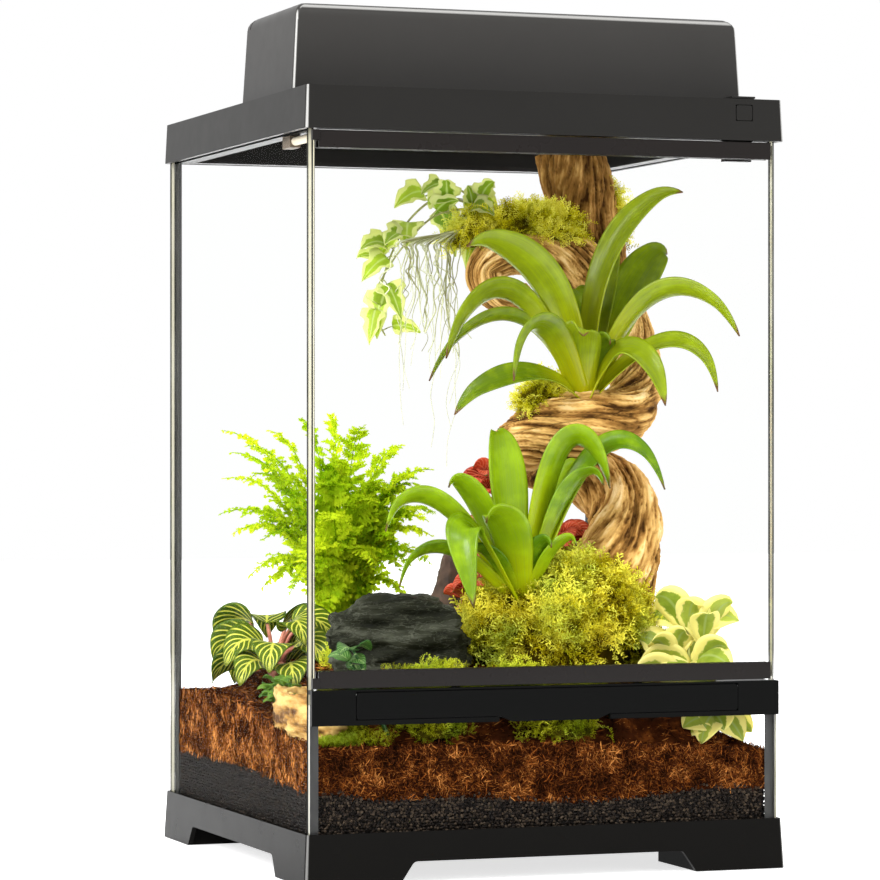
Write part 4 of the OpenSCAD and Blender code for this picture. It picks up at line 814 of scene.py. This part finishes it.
def vine(build, points, radii, seed, light=1.0):
    """A vine whose surface is a bundle of strands that wind on by STRAND_TURN between two points."""
    path = grown(route(points, VINE_STEPS))
    r = np.interp(np.linspace(0, len(radii) - 1, len(path)), range(len(radii)), radii) * GROW
    length = np.concatenate([[0], np.cumsum(np.linalg.norm(np.diff(path, axis=0), axis=1))])
    run, a = np.meshgrid(length, np.linspace(0, 2 * np.pi, VINE_SIDES, endpoint=False), indexing="ij")

    def wrapped(make, angle, long, wide, *rest):
        """Noise over the surface, taken from places on a cylinder, so that it closes round the vine."""
        at = np.stack([run / long, wide * np.cos(angle), wide * np.sin(angle)], -1)
        return make(at.reshape(-1, 3), *rest).reshape(run.shape)

    turn = a - STRAND_TURN * (np.arange(len(path)) / VINE_STEPS)[:, None]
    turn = turn + 0.25 * wrapped(noise, a, 60, 1.3, seed)
    ridge = np.abs(np.cos(STRANDS * turn / 2)) ** 0.55
    split = wrapped(noise, turn, 34, 2, seed + 1)
    fine = np.abs(np.sin(4.5 * (turn - 0.9 * run / 100) + 1.6 * split)) ** 0.6
    bark = wrapped(fbm, turn, 16, 9.6, 5, seed + 3, 0.62)
    crack = np.clip(np.abs(wrapped(noise, turn, 16 / 1.3, 12, seed + 8)) * 5, 0, 1)
    depth = 0.17 * (ridge - 1) + 0.08 * (fine - 1) + 0.05 * bark + 0.025 * (crack - 1) + 0.05
    swell = 1 + 0.05 * np.sin(run / 17 + seed) + depth
    points = rings(path, a, r[:, None] * swell)
    # Tone follows the relief: lower in the grooves between strands, the fine grooves and the cracks, higher
    # where the bark noise raises the surface, so crevices are painted darker (painted shade) and crests paler
    # (painted highlight).
    tone = 0.64 + 0.6 * (ridge - 0.8) + 0.4 * (fine - 0.75) + 0.3 * bark + 0.4 * (crack - 1)
    leaf = np.stack([run.ravel() / 100, turn.ravel() / np.pi], 1)
    sides = grid_faces(len(path), VINE_SIDES, True)
    build.add(points, sides, np.clip(tone, 0, 1).ravel() * light, leaf)
    fan = [[i, (i + 1) % VINE_SIDES, VINE_SIDES] for i in range(VINE_SIDES)]
    for end, out in ((0, -2.5), (-1, 2.5)):
        build.add([*points[end], path[end] + out * unit(path[-1] - path[-2])], fan, 0.2)


def wood():
    build = Build()
    vine(build, LIANA, LIANA_R, 4)
    vine(build, STUB, STUB_R, 9, light=0.66)
    m = Paint("liana_bark", 0.8, 0.05)
    u, v, tone = m.leaf()
    at = m.add("ShaderNodeCombineXYZ", {0: m.times(u, 5.0), 1: m.times(v, 18.0)})
    fibres = m.noise(1.6, 6, at=at.outputs[0])
    tone = m.plus(m.times(tone, 0.62), m.between(fibres, 0.3, 0.7, -0.06, 0.24))
    tone = m.plus(tone, m.drift(-0.14, 0.12, 38, 4))
    m.feed("Base Color", m.ramp(
        tone, (0.08, (0.055, 0.022, 0.005)), (0.34, (0.30, 0.145, 0.034)), (0.58, (0.68, 0.41, 0.13)),
        (0.85, (0.95, 0.72, 0.38))))
    bark = m.bump(m.plus(fibres, m.times(m.noise(700, 5), 0.6)), 1.4)
    build.piece("liana", bark, ["liana_wood"], "liana")


wood()

dark_bark = plain("dark_bark", (0.018, 0.011, 0.007), (0.09, 0.05, 0.03), 0.85, 70, 1.2)
carved("bark_stub", "bark_piece", 1.6, dark_bark, "bark", 2.4, 9, (1, 1, 0.3), 8)

# Moss: cushions with thousands of feathery sprigs


def sprig(rng, leaflets=10):
    """One curved sprig, 1 long, with a pair of leaflets at each step."""
    t = np.linspace(0, 1, leaflets + 1)
    bend = rng.uniform(0.2, 1.0)
    stem = np.stack([bend * t**2, 0.14 * np.sin(5 * t + rng.uniform(0, 6)), t * (1 - 0.45 * bend * t)], 1)
    points, faces, run = [], [], []
    for i in range(leaflets):
        k = len(points)
        w = 0.03 * (1.3 - t[i])
        points += [stem[i] + [0, w, 0], stem[i] - [0, w, 0], stem[i + 1]]
        faces.append([k, k + 1, k + 2])
        run += [t[i], t[i], t[i + 1]]
        for side in (-1, 1):
            k = len(points)
            reach = (0.17 - 0.08 * t[i]) * rng.uniform(0.7, 1.4)
            out = np.array([rng.uniform(-0.8, 0.8), side, 0.8]) * reach
            points += [stem[i], stem[i] + 0.55 * out + [0.03, 0, 0.05], stem[i] + out, stem[i] + 0.5 * out]
            faces += [[k, k + 1, k + 2], [k, k + 2, k + 3]]
            run += [t[i], t[i] + 0.1, min(1, t[i] + 0.3), t[i] + 0.1]
    return np.array(points), np.array(faces), np.array(run)[:, None]


# Kinds of sprig in a cushion, and the moss on the front slope: from x, to x, sprigs, depth behind
# the pane and how much fuller it grows
SPRIGS = 9
SLOPE_MOSS = ((-138, -42, 1900, 30, 0.0), (-140, -116, 500, 18, 0.5), (-24, 49, 560, 18, 0.0))


def mossy(name, node, count, length, material, seed, down, lean=0.6):
    """Cushion of sprigs all over a solid, but for the faces whose normal's height is less than down."""
    rng = np.random.default_rng(seed)
    at, normal = sampled(node, count, rng, down)
    build = Build()
    groups = rng.integers(0, SPRIGS, len(at))
    clump = 0.5 + 0.5 * fbm(at / 9, 3, seed)
    for kind in range(SPRIGS):
        shape, faces, run = sprig(rng)
        mine = groups == kind
        n = mine.sum()
        axes = frames_at(normal[mine] + [0, 0, 0.45], lean, rng)
        size = length * rng.uniform(0.55, 1.25, n) * (0.7 + 0.6 * clump[mine])
        tone = np.clip(clump[mine] + rng.normal(0, 0.2, n), 0, 1)
        scatter(build, shape, faces, at[mine] - 0.8 * normal[mine], axes, size, tone, run)
    mesh = nodes[node].data
    build.add(mesh_points(mesh), triangles(mesh), 0.0)
    build.piece(name, material, [node], "moss")


def slope_moss():
    """Low moss that creeps down the front slope, right behind the lower pane."""
    rng = np.random.default_rng(34)
    build = Build()
    for low, high, count, deep, full in SLOPE_MOSS:
        x, y = rng.uniform(low, high, count), -142 + deep * rng.random(count) ** 0.8
        grows = fbm(np.stack([x, y, 0 * x], 1) / 11, 3, 8) > -0.25 - 0.03 * (y + 130) - full
        x, y = x[grows], y[grows]
        slope = (lie(x, y + 1) - lie(x, y - 1)) / 2
        normal = unit(np.stack([0 * x, -slope, 1 + 0 * x], 1))
        shape, faces, run = sprig(rng)
        axes = frames_at(normal + [0, 0, 0.3], 0.6, rng)
        at = np.stack([x, y, lie(x, y)], 1) - 0.6 * normal
        size = 7 * rng.uniform(0.6, 1.2, len(at))
        scatter(build, shape, faces, at, axes, size, rng.uniform(0.1, 1, len(at)), run)
    build.piece("slope_moss", green_moss, ["ground_moss"], "moss")


gold_moss = tufted("gold_moss", (0.08, 0.052, 0.002), (0.55, 0.46, 0.006), (1.0, 0.92, 0.10))
green_moss = tufted("green_moss", (0.06, 0.048, 0.002), (0.38, 0.40, 0.004), (0.84, 0.86, 0.06))
# A paler copy of the moss colours for the moss high on the wood: painted light, standing for the back light
# there.
bright_moss = tufted("bright_moss", (0.12, 0.085, 0.003), (0.72, 0.66, 0.01), (1.0, 0.96, 0.16), 0.45, 0.35)
mossy("mound_moss", "moss_mound", 7600, 16, gold_moss, 31, -0.3, 0.7)
mossy("low_moss", "ground_moss", 5200, 10, green_moss, 32, -0.2)
slope_moss()
mossy("high_moss", "wood_moss", 4200, 12, bright_moss, 33, -0.6)

# Straps of the two bromeliads: middle and tip from the seat, and width

UPPER_SEAT, LOWER_SEAT = np.array([62, -58, 302.0]), np.array([12, -76, 172.0])
UPPER_LEAVES = [
    (-34, -17, 68, -90, -27, 95, 20), (-51, -2, 60, -95, -2, 25, 14), (-47, 8, 45, -101, 13, 11, 9),
    (-42, -37, 37, -70, -57, 10, 17), (-51, -27, 7, -102, -37, -11, 15), (16, -2, 84, 62, -17, 133, 15),
    (21, 18, 60, 32, 23, 98, 14), (38, 13, 60, 66, 18, 95, 24), (38, -32, 59, 78, -70, 39, 13),
    (47, -27, 28, 70, -54, 4, 13), (17, -32, 23, 34, -54, -5, 17), (-12, -22, 25, -15, -37, 39, 22),
    (6, 13, 47, 6, 38, 67, 14), (4, -14, 20, 6, -30, 34, 15), (-12, 6, 40, -22, 12, 70, 13),
]
LOWER_LEAVES = [
    (-10, 1, 66, -12, 11, 108, 22), (-31, -9, 52, -54, -14, 74, 16), (-60, -16, 56, -99, -24, 47, 12),
    (-48, -32, 42, -50, -49, 0, 18), (25, -9, 90, 51, -24, 73, 18), (50, -6, 88, 92, -16, 72, 13),
    (22, 4, 59, 44, 8, 85, 10), (25, -14, 61, 46, -26, 75, 12), (-18, -24, 38, -37, -36, 52, 22),
    (-23, -14, 21, -45, -24, 30, 10), (11, -24, 25, 25, -32, 37, 8), (-53, -8, 27, -88, -18, 12, 10),
    (2, -18, 22, 8, -32, 36, 13),
]


def bromeliad(name, node, seat, leaves, material, slot, seed):
    rng = np.random.default_rng(seed)
    build = Build()
    seat = grown(seat)
    for *ends, width in leaves:
        via, tip = GROW * np.reshape(ends, (2, 3))
        out = unit(tip * [1, 1, 0])
        path = arc(seat + 4 * out - [0, 0, 8], seat + via, seat + tip - [0, 0, 2], 44)
        path[:, 2] -= 6 * np.clip((np.linspace(0, 1, 44) - 0.84) / 0.16, 0, 1) ** 2
        blade(build, path, width * GROW * 1.22, strap, rng.random(), 13, 0.3, 0.4,
              rng.uniform(-0.25, 0.25), rng.uniform(0, 6), 0.5)
    build.piece(name, material, [node], slot, thick=0.9)


strap_green = leafy("strap_green", (0.06, 0.15, 0.004), (0.30, 0.38, 0.008), 0.22, 0.35,
                    tip=(0.16, 0.07, 0.02), base=(0.62, 0.60, 0.004), streaks=0.4)
strap_deep = leafy("strap_deep", (0.07, 0.19, 0.003), (0.34, 0.50, 0.006), 0.22, 0.35,
                   tip=(0.15, 0.10, 0.02), base=(0.62, 0.66, 0.004), streaks=0.3)
bromeliad("bromeliad_high", "upper_bromeliad", UPPER_SEAT, UPPER_LEAVES, strap_green, "upper_leaf", 41)
bromeliad("bromeliad_low", "lower_bromeliad", LOWER_SEAT, LOWER_LEAVES, strap_deep, "lower_leaf", 42)

# Fern: arching fronds with two rows of ruffled leaflets

FERN_AT = np.array([-58, 78, 124.0])
FROND_TIPS = [
    (-78, 10, 150), (-70, -20, 140), (-40, 30, 150), (-27, 0, 158), (-6, 0, 160), (8, -20, 152),
    (46, 10, 140), (57, -20, 124), (61, 0, 90), (-80, 10, 95), (-72, 30, 118), (-62, 0, 55), (-46, -60, 66),
    (29, -40, 58), (5, -50, 104), (-29, -66, 92),
]


def leaflet(rng, lobes=6):
    """Ruffled leaflet, 1 long along x: a middle line with toothed, curled edges."""
    n = 2 * lobes + 1
    t = np.linspace(0, 1, n)
    width = 0.2 * np.sin(np.pi * (0.14 + 0.84 * t)) ** 0.7
    tooth = np.where(np.arange(n) % 2 == 1, 1.35, 0.5) * rng.uniform(0.85, 1.15, n)
    bend = rng.uniform(-0.3, 0.05) * t**2
    curl = 0.13 * rng.uniform(-1, 1, (2, n))
    middle = np.stack([t, 0 * t, bend], 1)
    left = np.stack([t + 0.05, width * tooth, bend + curl[0]], 1)
    right = np.stack([t + 0.05, -width * tooth, bend + curl[1]], 1)
    points = np.concatenate([left, middle, right])
    return points, grid_faces(3, n), np.stack([np.tile(t, 3), np.repeat([-1, 0, 1], n)], 1)


def frond(build, rng, base, via, tip, reach, pairs):
    path = arc(base, via, tip, 3 * pairs)
    tone = rng.uniform(0.2, 0.9)
    tube(build, path, np.linspace(0.8, 0.25, len(path)), 4, 0.15)
    shape, faces, leaf = leaflet(rng)
    tangent, side, _ = carried(path, np.cross(path[-1] - path[0], [0, 0, 1.0]))
    t = np.linspace(0.1, 1, 2 * pairs)
    index = (t * (len(path) - 1)).astype(int)
    for sign in (-1, 1):
        out = unit(sign * side[index] + 0.35 * tangent[index] + 0.22 * rng.normal(size=(len(t), 3)))
        lift = unit(np.cross(out, tangent[index]) * sign + 0.35 * rng.normal(size=(len(t), 3)))
        across = unit(np.cross(lift, out))
        axes = np.stack([out, across, np.cross(out, across)], -1)
        size = reach * np.sin(np.pi * (0.12 + 0.84 * t)) ** 0.6 * rng.uniform(0.75, 1.15, len(t))
        tones = np.clip(tone + rng.normal(0, 0.12, len(t)), 0, 1)
        scatter(build, shape, faces, path[index], axes, size, tones, leaf)


def fern():
    rng = np.random.default_rng(51)
    build = Build()
    base = grown(FERN_AT)
    tips = [np.array(t, float) for t in FROND_TIPS]
    tips += [t * rng.uniform(0.5, 0.88) + rng.normal(0, 9, 3) * [1, 1, 0.6] for t in tips]
    tips += [t * rng.uniform(0.7, 0.97) + rng.normal(0, 10, 3) * [1, 1, 0.6] for t in tips[2:15]]
    tips += [np.array([rng.uniform(-40, 62), rng.uniform(-34, 4), rng.uniform(50, 128)]) for _ in range(18)]
    for tip in tips:
        tip = tip * GROW
        start = base + 5 * unit(tip * [1, 1, 0])
        via = base + tip * [0.42, 0.42, 0.5] + [0, 0, 34 * GROW]
        frond(build, rng, start, via, base + tip, rng.uniform(11, 15) * GROW, 18)
    paint = leafy("fern_green", (0.26, 0.48, 0.002), (0.72, 0.86, 0.02), 0.6, 0.5, streaks=0.08, gloss=0.08)
    build.piece("fern_fronds", paint, ["fern"], "fern_leaf")


fern()

# Small plants


def on_soil(x, y):
    """Foot of a plant, on the soil."""
    x, y, _ = grown([x, y, 0])
    return np.array([x, y, lie(x, y)])


def tuft(build, rng, at, count, length, width, slope, profile=oval, cup=0.25, droop=0.3, n=12, turn=0.0,
         turned=0.35):
    for i in range(count):
        az = turn + 2 * np.pi * i / count + rng.uniform(-0.3, 0.3)
        up = np.radians(slope + rng.uniform(-22, 22))
        out = np.array([np.cos(az) * np.cos(up), np.sin(az) * np.cos(up), np.sin(up)])
        size = length * rng.uniform(0.8, 1.15)
        path = arc(at, at + 0.5 * size * out + [0, 0, 0.09 * size], at + size * out - [0, 0, droop * size], n)
        blade(build, path, width * size / length, profile, rng.random(), 7, cup, 0.3, rng.uniform(-0.4, 0.4),
              0, turned)


def stem(build, points, radius, tone=0.1, sides=6):
    path = route(points, 6)
    tube(build, path, np.linspace(radius, 0.6 * radius, len(path)), sides, tone)


def sprout(build, foot, end, radius, share=0.5, lift=(0, 0, 3), sunk=1, tone=0.1):
    """Stem from below the foot to its end, by way of a lifted place between them."""
    stem(build, [foot - [0, 0, sunk], foot + share * (end - foot) + lift, end], radius, tone)


def plant(name, node, slot, leaves, thick, look, stems, *bark):
    """Finishes a plant: its leaves, which stand for the solid, and its stems."""
    leaves.piece(f"{name}_leaves", leafy(f"{name}_leaf", **look), [node], slot, thick)
    stems.piece(f"{name}_stems", plain(f"{name}_stem", *bark), slot=slot)


def red_plant():
    rng = np.random.default_rng(61)
    leaves, stems = Build(), Build()
    for line in (
        [[16, -14, 124.4], [10, -16, 180], [9, -26, 243]],
        [[56, -12, 124.4], [60, -14, 165], [62, -22, 206]],
        [[-12, -14, 124.4], [-18, -30, 152], [-2, -48, 186]],
    ):
        p = grown(line)
        stem(stems, p, 1.2, 0.3)
        for share, count in ((1.0, 9), (0.93, 8), (0.84, 7), (0.7, 6)):
            q = route(p, 10)[int(share * 20)]
            tuft(leaves, rng, q, count, 17, 13, 20, oval, 0.2, 0.25, 12, 0.5, 0.6)
    look = dict(low=(0.42, 0.035, 0.015), high=(0.80, 0.13, 0.05), veins=(0.85, 0.30, 0.17),
                tip=(0.10, 0.14, 0.02))
    plant("red", "fittonia", "fittonia_leaf", leaves, 0.4, look,
          stems, (0.20, 0.05, 0.03), (0.34, 0.12, 0.06), 0.5, 200)


def veined_leaves():
    rng = np.random.default_rng(62)
    leaves, stems = Build(), Build()
    foot = on_soil(-112, 52)
    for i in range(17):
        az = np.radians(137.5 * i)
        wide, deep = 12 + 2.2 * (i % 4), 24 + 4 * (i % 4)
        b = foot + [wide * np.cos(az), deep * np.sin(az), 6 + 4.4 * ((i * 3) % 9)]
        sprout(stems, foot, b, 1.9, lift=(0, 0, 5), sunk=2, tone=0.5)
        out = unit([np.cos(az), np.sin(az), 0.1 * rng.uniform(-1, 1)])
        size = rng.uniform(27, 34)
        path = arc(b - 4 * out, b + 0.42 * size * out + [0, 0, 3], b + 0.8 * size * out - [0, 0, 13], 20)
        blade(leaves, path, size * 0.92, heart, rng.random(), 15, 0.12, 1.0, rng.uniform(-0.3, 0.3), 0, 0.5)
    look = dict(low=(0.030, 0.085, 0.004), high=(0.10, 0.16, 0.008), roughness=0.32, through=0.25,
                veins=(0.70, 0.70, 0.10), bold=0.1, gloss=0.2)
    plant("veined", "veined_plant", "veined_leaf", leaves, 0.4, look,
          stems, (0.36, 0.09, 0.06), (0.55, 0.22, 0.14), 0.45, 150)


def cream_plant():
    rng = np.random.default_rng(63)
    leaves, stems = Build(), Build()
    foot = on_soil(112, -116)
    for i in range(3):
        b = foot + np.array([8 * i - 10, 8 - 6 * i, 22 + 14 * (i % 2) + 6 * i]) * GROW
        sprout(stems, foot, b, 1.6, lift=(1, 2, 0), sunk=2)
        tuft(leaves, rng, b, 5, 37, 23, 46, oval, 0.14, 0.22, 14, i, 0.6)
        tuft(leaves, rng, foot + 0.5 * (b - foot) + [0.6, 1.4, 0], 3, 33, 20, 24, oval, 0.14, 0.25, 14,
             2.1 * i + 0.7, 0.6)
    low = foot + np.array([9, -15, -10]) * GROW
    sprout(stems, foot, low, 1.4, lift=(0, 0, 4))
    for az, down in ((185, 16), (205, 8), (240, 18), (275, 10), (310, 17), (345, 12)):
        out = np.array([1.5 * np.cos(np.radians(az)), 0.6 * np.sin(np.radians(az)), 0.1])
        path = arc(low, low + 9 * out - [0, 0, 0.2 * down], low + 17 * out - [0, 0, down], 16)
        blade(leaves, path, 20, oval, rng.random(), 9, 0.12, 0.3, 0, 0, 0.7)
    look = dict(low=(0.26, 0.36, 0.03), high=(0.50, 0.58, 0.08), roughness=0.34, through=0.4,
                edge=(0.95, 0.88, 0.30), rib=(0.42, 0.52, 0.16))
    plant("cream", "peperomia", "peperomia_leaf", leaves, 0.5, look,
          stems, (0.36, 0.42, 0.12), (0.5, 0.5, 0.2), 0.4, 150)


def lobed(t):
    """Outline of an ivy leaf: wide shoulders and a long middle lobe."""
    return np.interp(t, [0, 0.08, 0.3, 0.42, 0.62, 0.8, 1], [0.3, 0.9, 1.0, 0.55, 0.62, 0.35, 0.02])


IVY = [
    [[15, 10, 405], [13, 12, 420], [-8, 22, 426], [-24, 30, 414], [-34, 34, 396], [-42, 36, 374],
     [-46, 38, 350], [-40, 38, 336]],
    [[16, 9, 405], [16, 11, 417], [6, 30, 434], [-12, 40, 428]],
    [[12, 9, 405], [10, 12, 418], [-12, 20, 414], [-34, 24, 392], [-50, 28, 366]],
]


def ivy():
    rng = np.random.default_rng(64)
    leaves, stems = Build(), Build()
    for line in IVY:
        p = grown(line)
        stem(stems, p, 0.9)
        q = route(p, 6)
        for i in range(4, len(q), 3):
            at = q[i]
            out = unit([rng.uniform(-0.9, 0.7), rng.uniform(-0.7, 0.1), rng.uniform(-0.8, 0.35)])
            size = rng.uniform(17, 26)
            foot = at + 0.35 * size * out + [0, 0, 2]
            stem(stems, [at, at + 0.2 * size * out + [0, 0, 1.5], foot], 0.5)
            path = arc(foot, foot + 0.5 * size * out - [0, 0, 1], foot + size * out - [0, 0, 0.35 * size], 14)
            blade(leaves, path, size * 0.95, lobed, rng.random(), 9, 0.18, 0.6, rng.uniform(-0.4, 0.4),
                  rng.uniform(0, 6), 0.6)
    look = dict(low=(0.24, 0.40, 0.02), high=(0.52, 0.64, 0.06), roughness=0.42, through=0.5,
                rib=(0.66, 0.76, 0.30), edge=(0.76, 0.80, 0.36))
    plant("ivy", "ivy", "ivy_leaf", leaves, 0.3, look, stems, (0.25, 0.28, 0.08), (0.4, 0.4, 0.16), 0.5, 200)


def air_plant():
    rng = np.random.default_rng(65)
    build = Build()
    for i in range(40):
        k = i % 9
        x, y = -6 - 4.2 * k + rng.normal(0, 3), 4 + rng.normal(0, 5)
        drop = rng.uniform(20, 75) if i % 4 else rng.uniform(80, 146)
        n = 9
        z = 396 - drop * np.linspace(0, 1, n)
        swing = np.cumsum(rng.normal(0, 3.0, (n, 2)), 0) * np.linspace(0.3, 1, n)[:, None]
        points = np.stack([x + swing[:, 0], y + swing[:, 1], z], 1)
        points = np.concatenate([[[14, 3, 404], [8 - 0.4 * k, 2, 410 - 0.8 * k]], points])
        stem(build, grown(points), rng.uniform(0.3, 0.75) if drop < 80 else 0.3, rng.random(), 4)
    paint = tufted("air_plant", (0.28, 0.28, 0.12), (0.58, 0.60, 0.36), (0.80, 0.82, 0.60), 0.2, 0.0)
    build.piece("air_strands", paint, ["hanging_moss"], "pale_moss")


def low_plants():
    rng = np.random.default_rng(66)
    small, dark = Build(), Build()
    foot = on_soil(-130, -18)
    for i in range(9):
        b = foot + [4 * np.sin(1.7 * i), -24 + 6 * i, 9 + 4 * (i % 3)]
        sprout(small, foot, b, 0.7)
        for share in (0.6, 1.0):
            tuft(small, rng, foot + share * (b - foot), 4, 8, 6, 25, oval, 0.2, 0.2, 8)
    small.piece("creeping_leaves", leafy("creeping_leaf", (0.06, 0.17, 0.015), (0.20, 0.36, 0.04)),
                ["creeper"], "creeper_leaf", thick=0.3)
    foot = on_soil(-98, -136)
    for i in range(5):
        b = foot + [6 * np.cos(1.3 * i) - 16, 5 * np.sin(1.6 * i) + 11, 30 + 7 * (i % 4)]
        sprout(dark, foot, b, 1.1, 0.6)
        tuft(dark, rng, b, 2, 14, 13, 10, heart, 0.15, 0.2, 12, 1.2 * i)
    dark.piece("dark_leaves", leafy("dark_leaf", (0.015, 0.08, 0.01), (0.05, 0.17, 0.02), 0.3, 0.2,
                                    veins=(0.30, 0.45, 0.15)), ["dark_leaf_plant"], "dark_leaf", thick=0.4)


red_plant()
veined_leaves()
cream_plant()
ivy()
air_plant()
low_plants()

# Floor, light and camera


def studio():
    mesh = bpy.data.meshes.new("floor")
    wide, low = 6, -0.0005
    mesh.from_pydata([(-wide, -wide, low), (wide, -wide, low), (wide, wide, low), (-wide, wide, low)],
                     [], [(0, 1, 2, 3)])
    m = Paint("floor_white", 0.9, 0.1)
    m.bsdf.inputs["Base Color"].default_value = (0.86, 0.86, 0.86, 1)
    light = m.add("ShaderNodeEmission", {"Color": (1, 1, 1, 1), "Strength": 0.72}).outputs[0]
    both = m.add("ShaderNodeAddShader", {0: m.bsdf.outputs[0], 1: light}).outputs[0]
    path = m.add("ShaderNodeLightPath").outputs
    seen = m.higher(m.higher(path["Is Camera Ray"], path["Is Glossy Ray"]), path["Is Transmission Ray"])
    mesh.materials.append(m.surface(seen, m.bsdf.outputs[0], both))
    placed("floor", mesh)

    world = bpy.data.worlds.new("studio")
    bpy.context.scene.world = world
    world.use_nodes = True
    world.node_tree.nodes["Background"].inputs["Color"].default_value = (1, 1, 1, 1)

    # Lamps: place, height of the target, size, power and whether glossy faces show it
    for name, place, aim, size, power, glossy in (
        ("key", (-1.9, -1.1, 1.3), 0.25, (1.0, 1.0), 62, True),
        ("fill", (1.2, -1.9, 0.9), 0.25, (1.2, 1.2), 22, False),
        ("back", (0.7, 1.8, 1.1), 0.25, (1.4, 1.4), 60, False),
        ("left_strip", (-2.3, -0.85, 0.4), 0.4, (0.3, 1.6), 10, True),
        ("top_strip", (-0.35, -1.5, 2.1), 0.5, (1.6, 0.3), 20, True),
    ):
        data = bpy.data.lights.new(name, "AREA")
        data.shape = "RECTANGLE"
        data.size, data.size_y = size
        data.energy = power
        lamp = placed(name, data)
        lamp.visible_glossy = glossy
        lamp.location = place
        lamp.rotation_euler = (Vector((0, 0, aim)) - lamp.location).to_track_quat("-Z", "Y").to_euler()

    lens = bpy.data.cameras.new("camera")
    lens.sensor_width = 36
    lens.lens = 153.39
    lens.clip_end = 20
    camera = placed("camera", lens)
    camera.location = (-0.83904, -2.29042, 0.26471)
    camera.rotation_euler = (math.radians(90.065), 0, math.radians(-19.78))
    bpy.context.scene.camera = camera
    bpy.context.scene.view_settings.view_transform = "Standard"


studio()
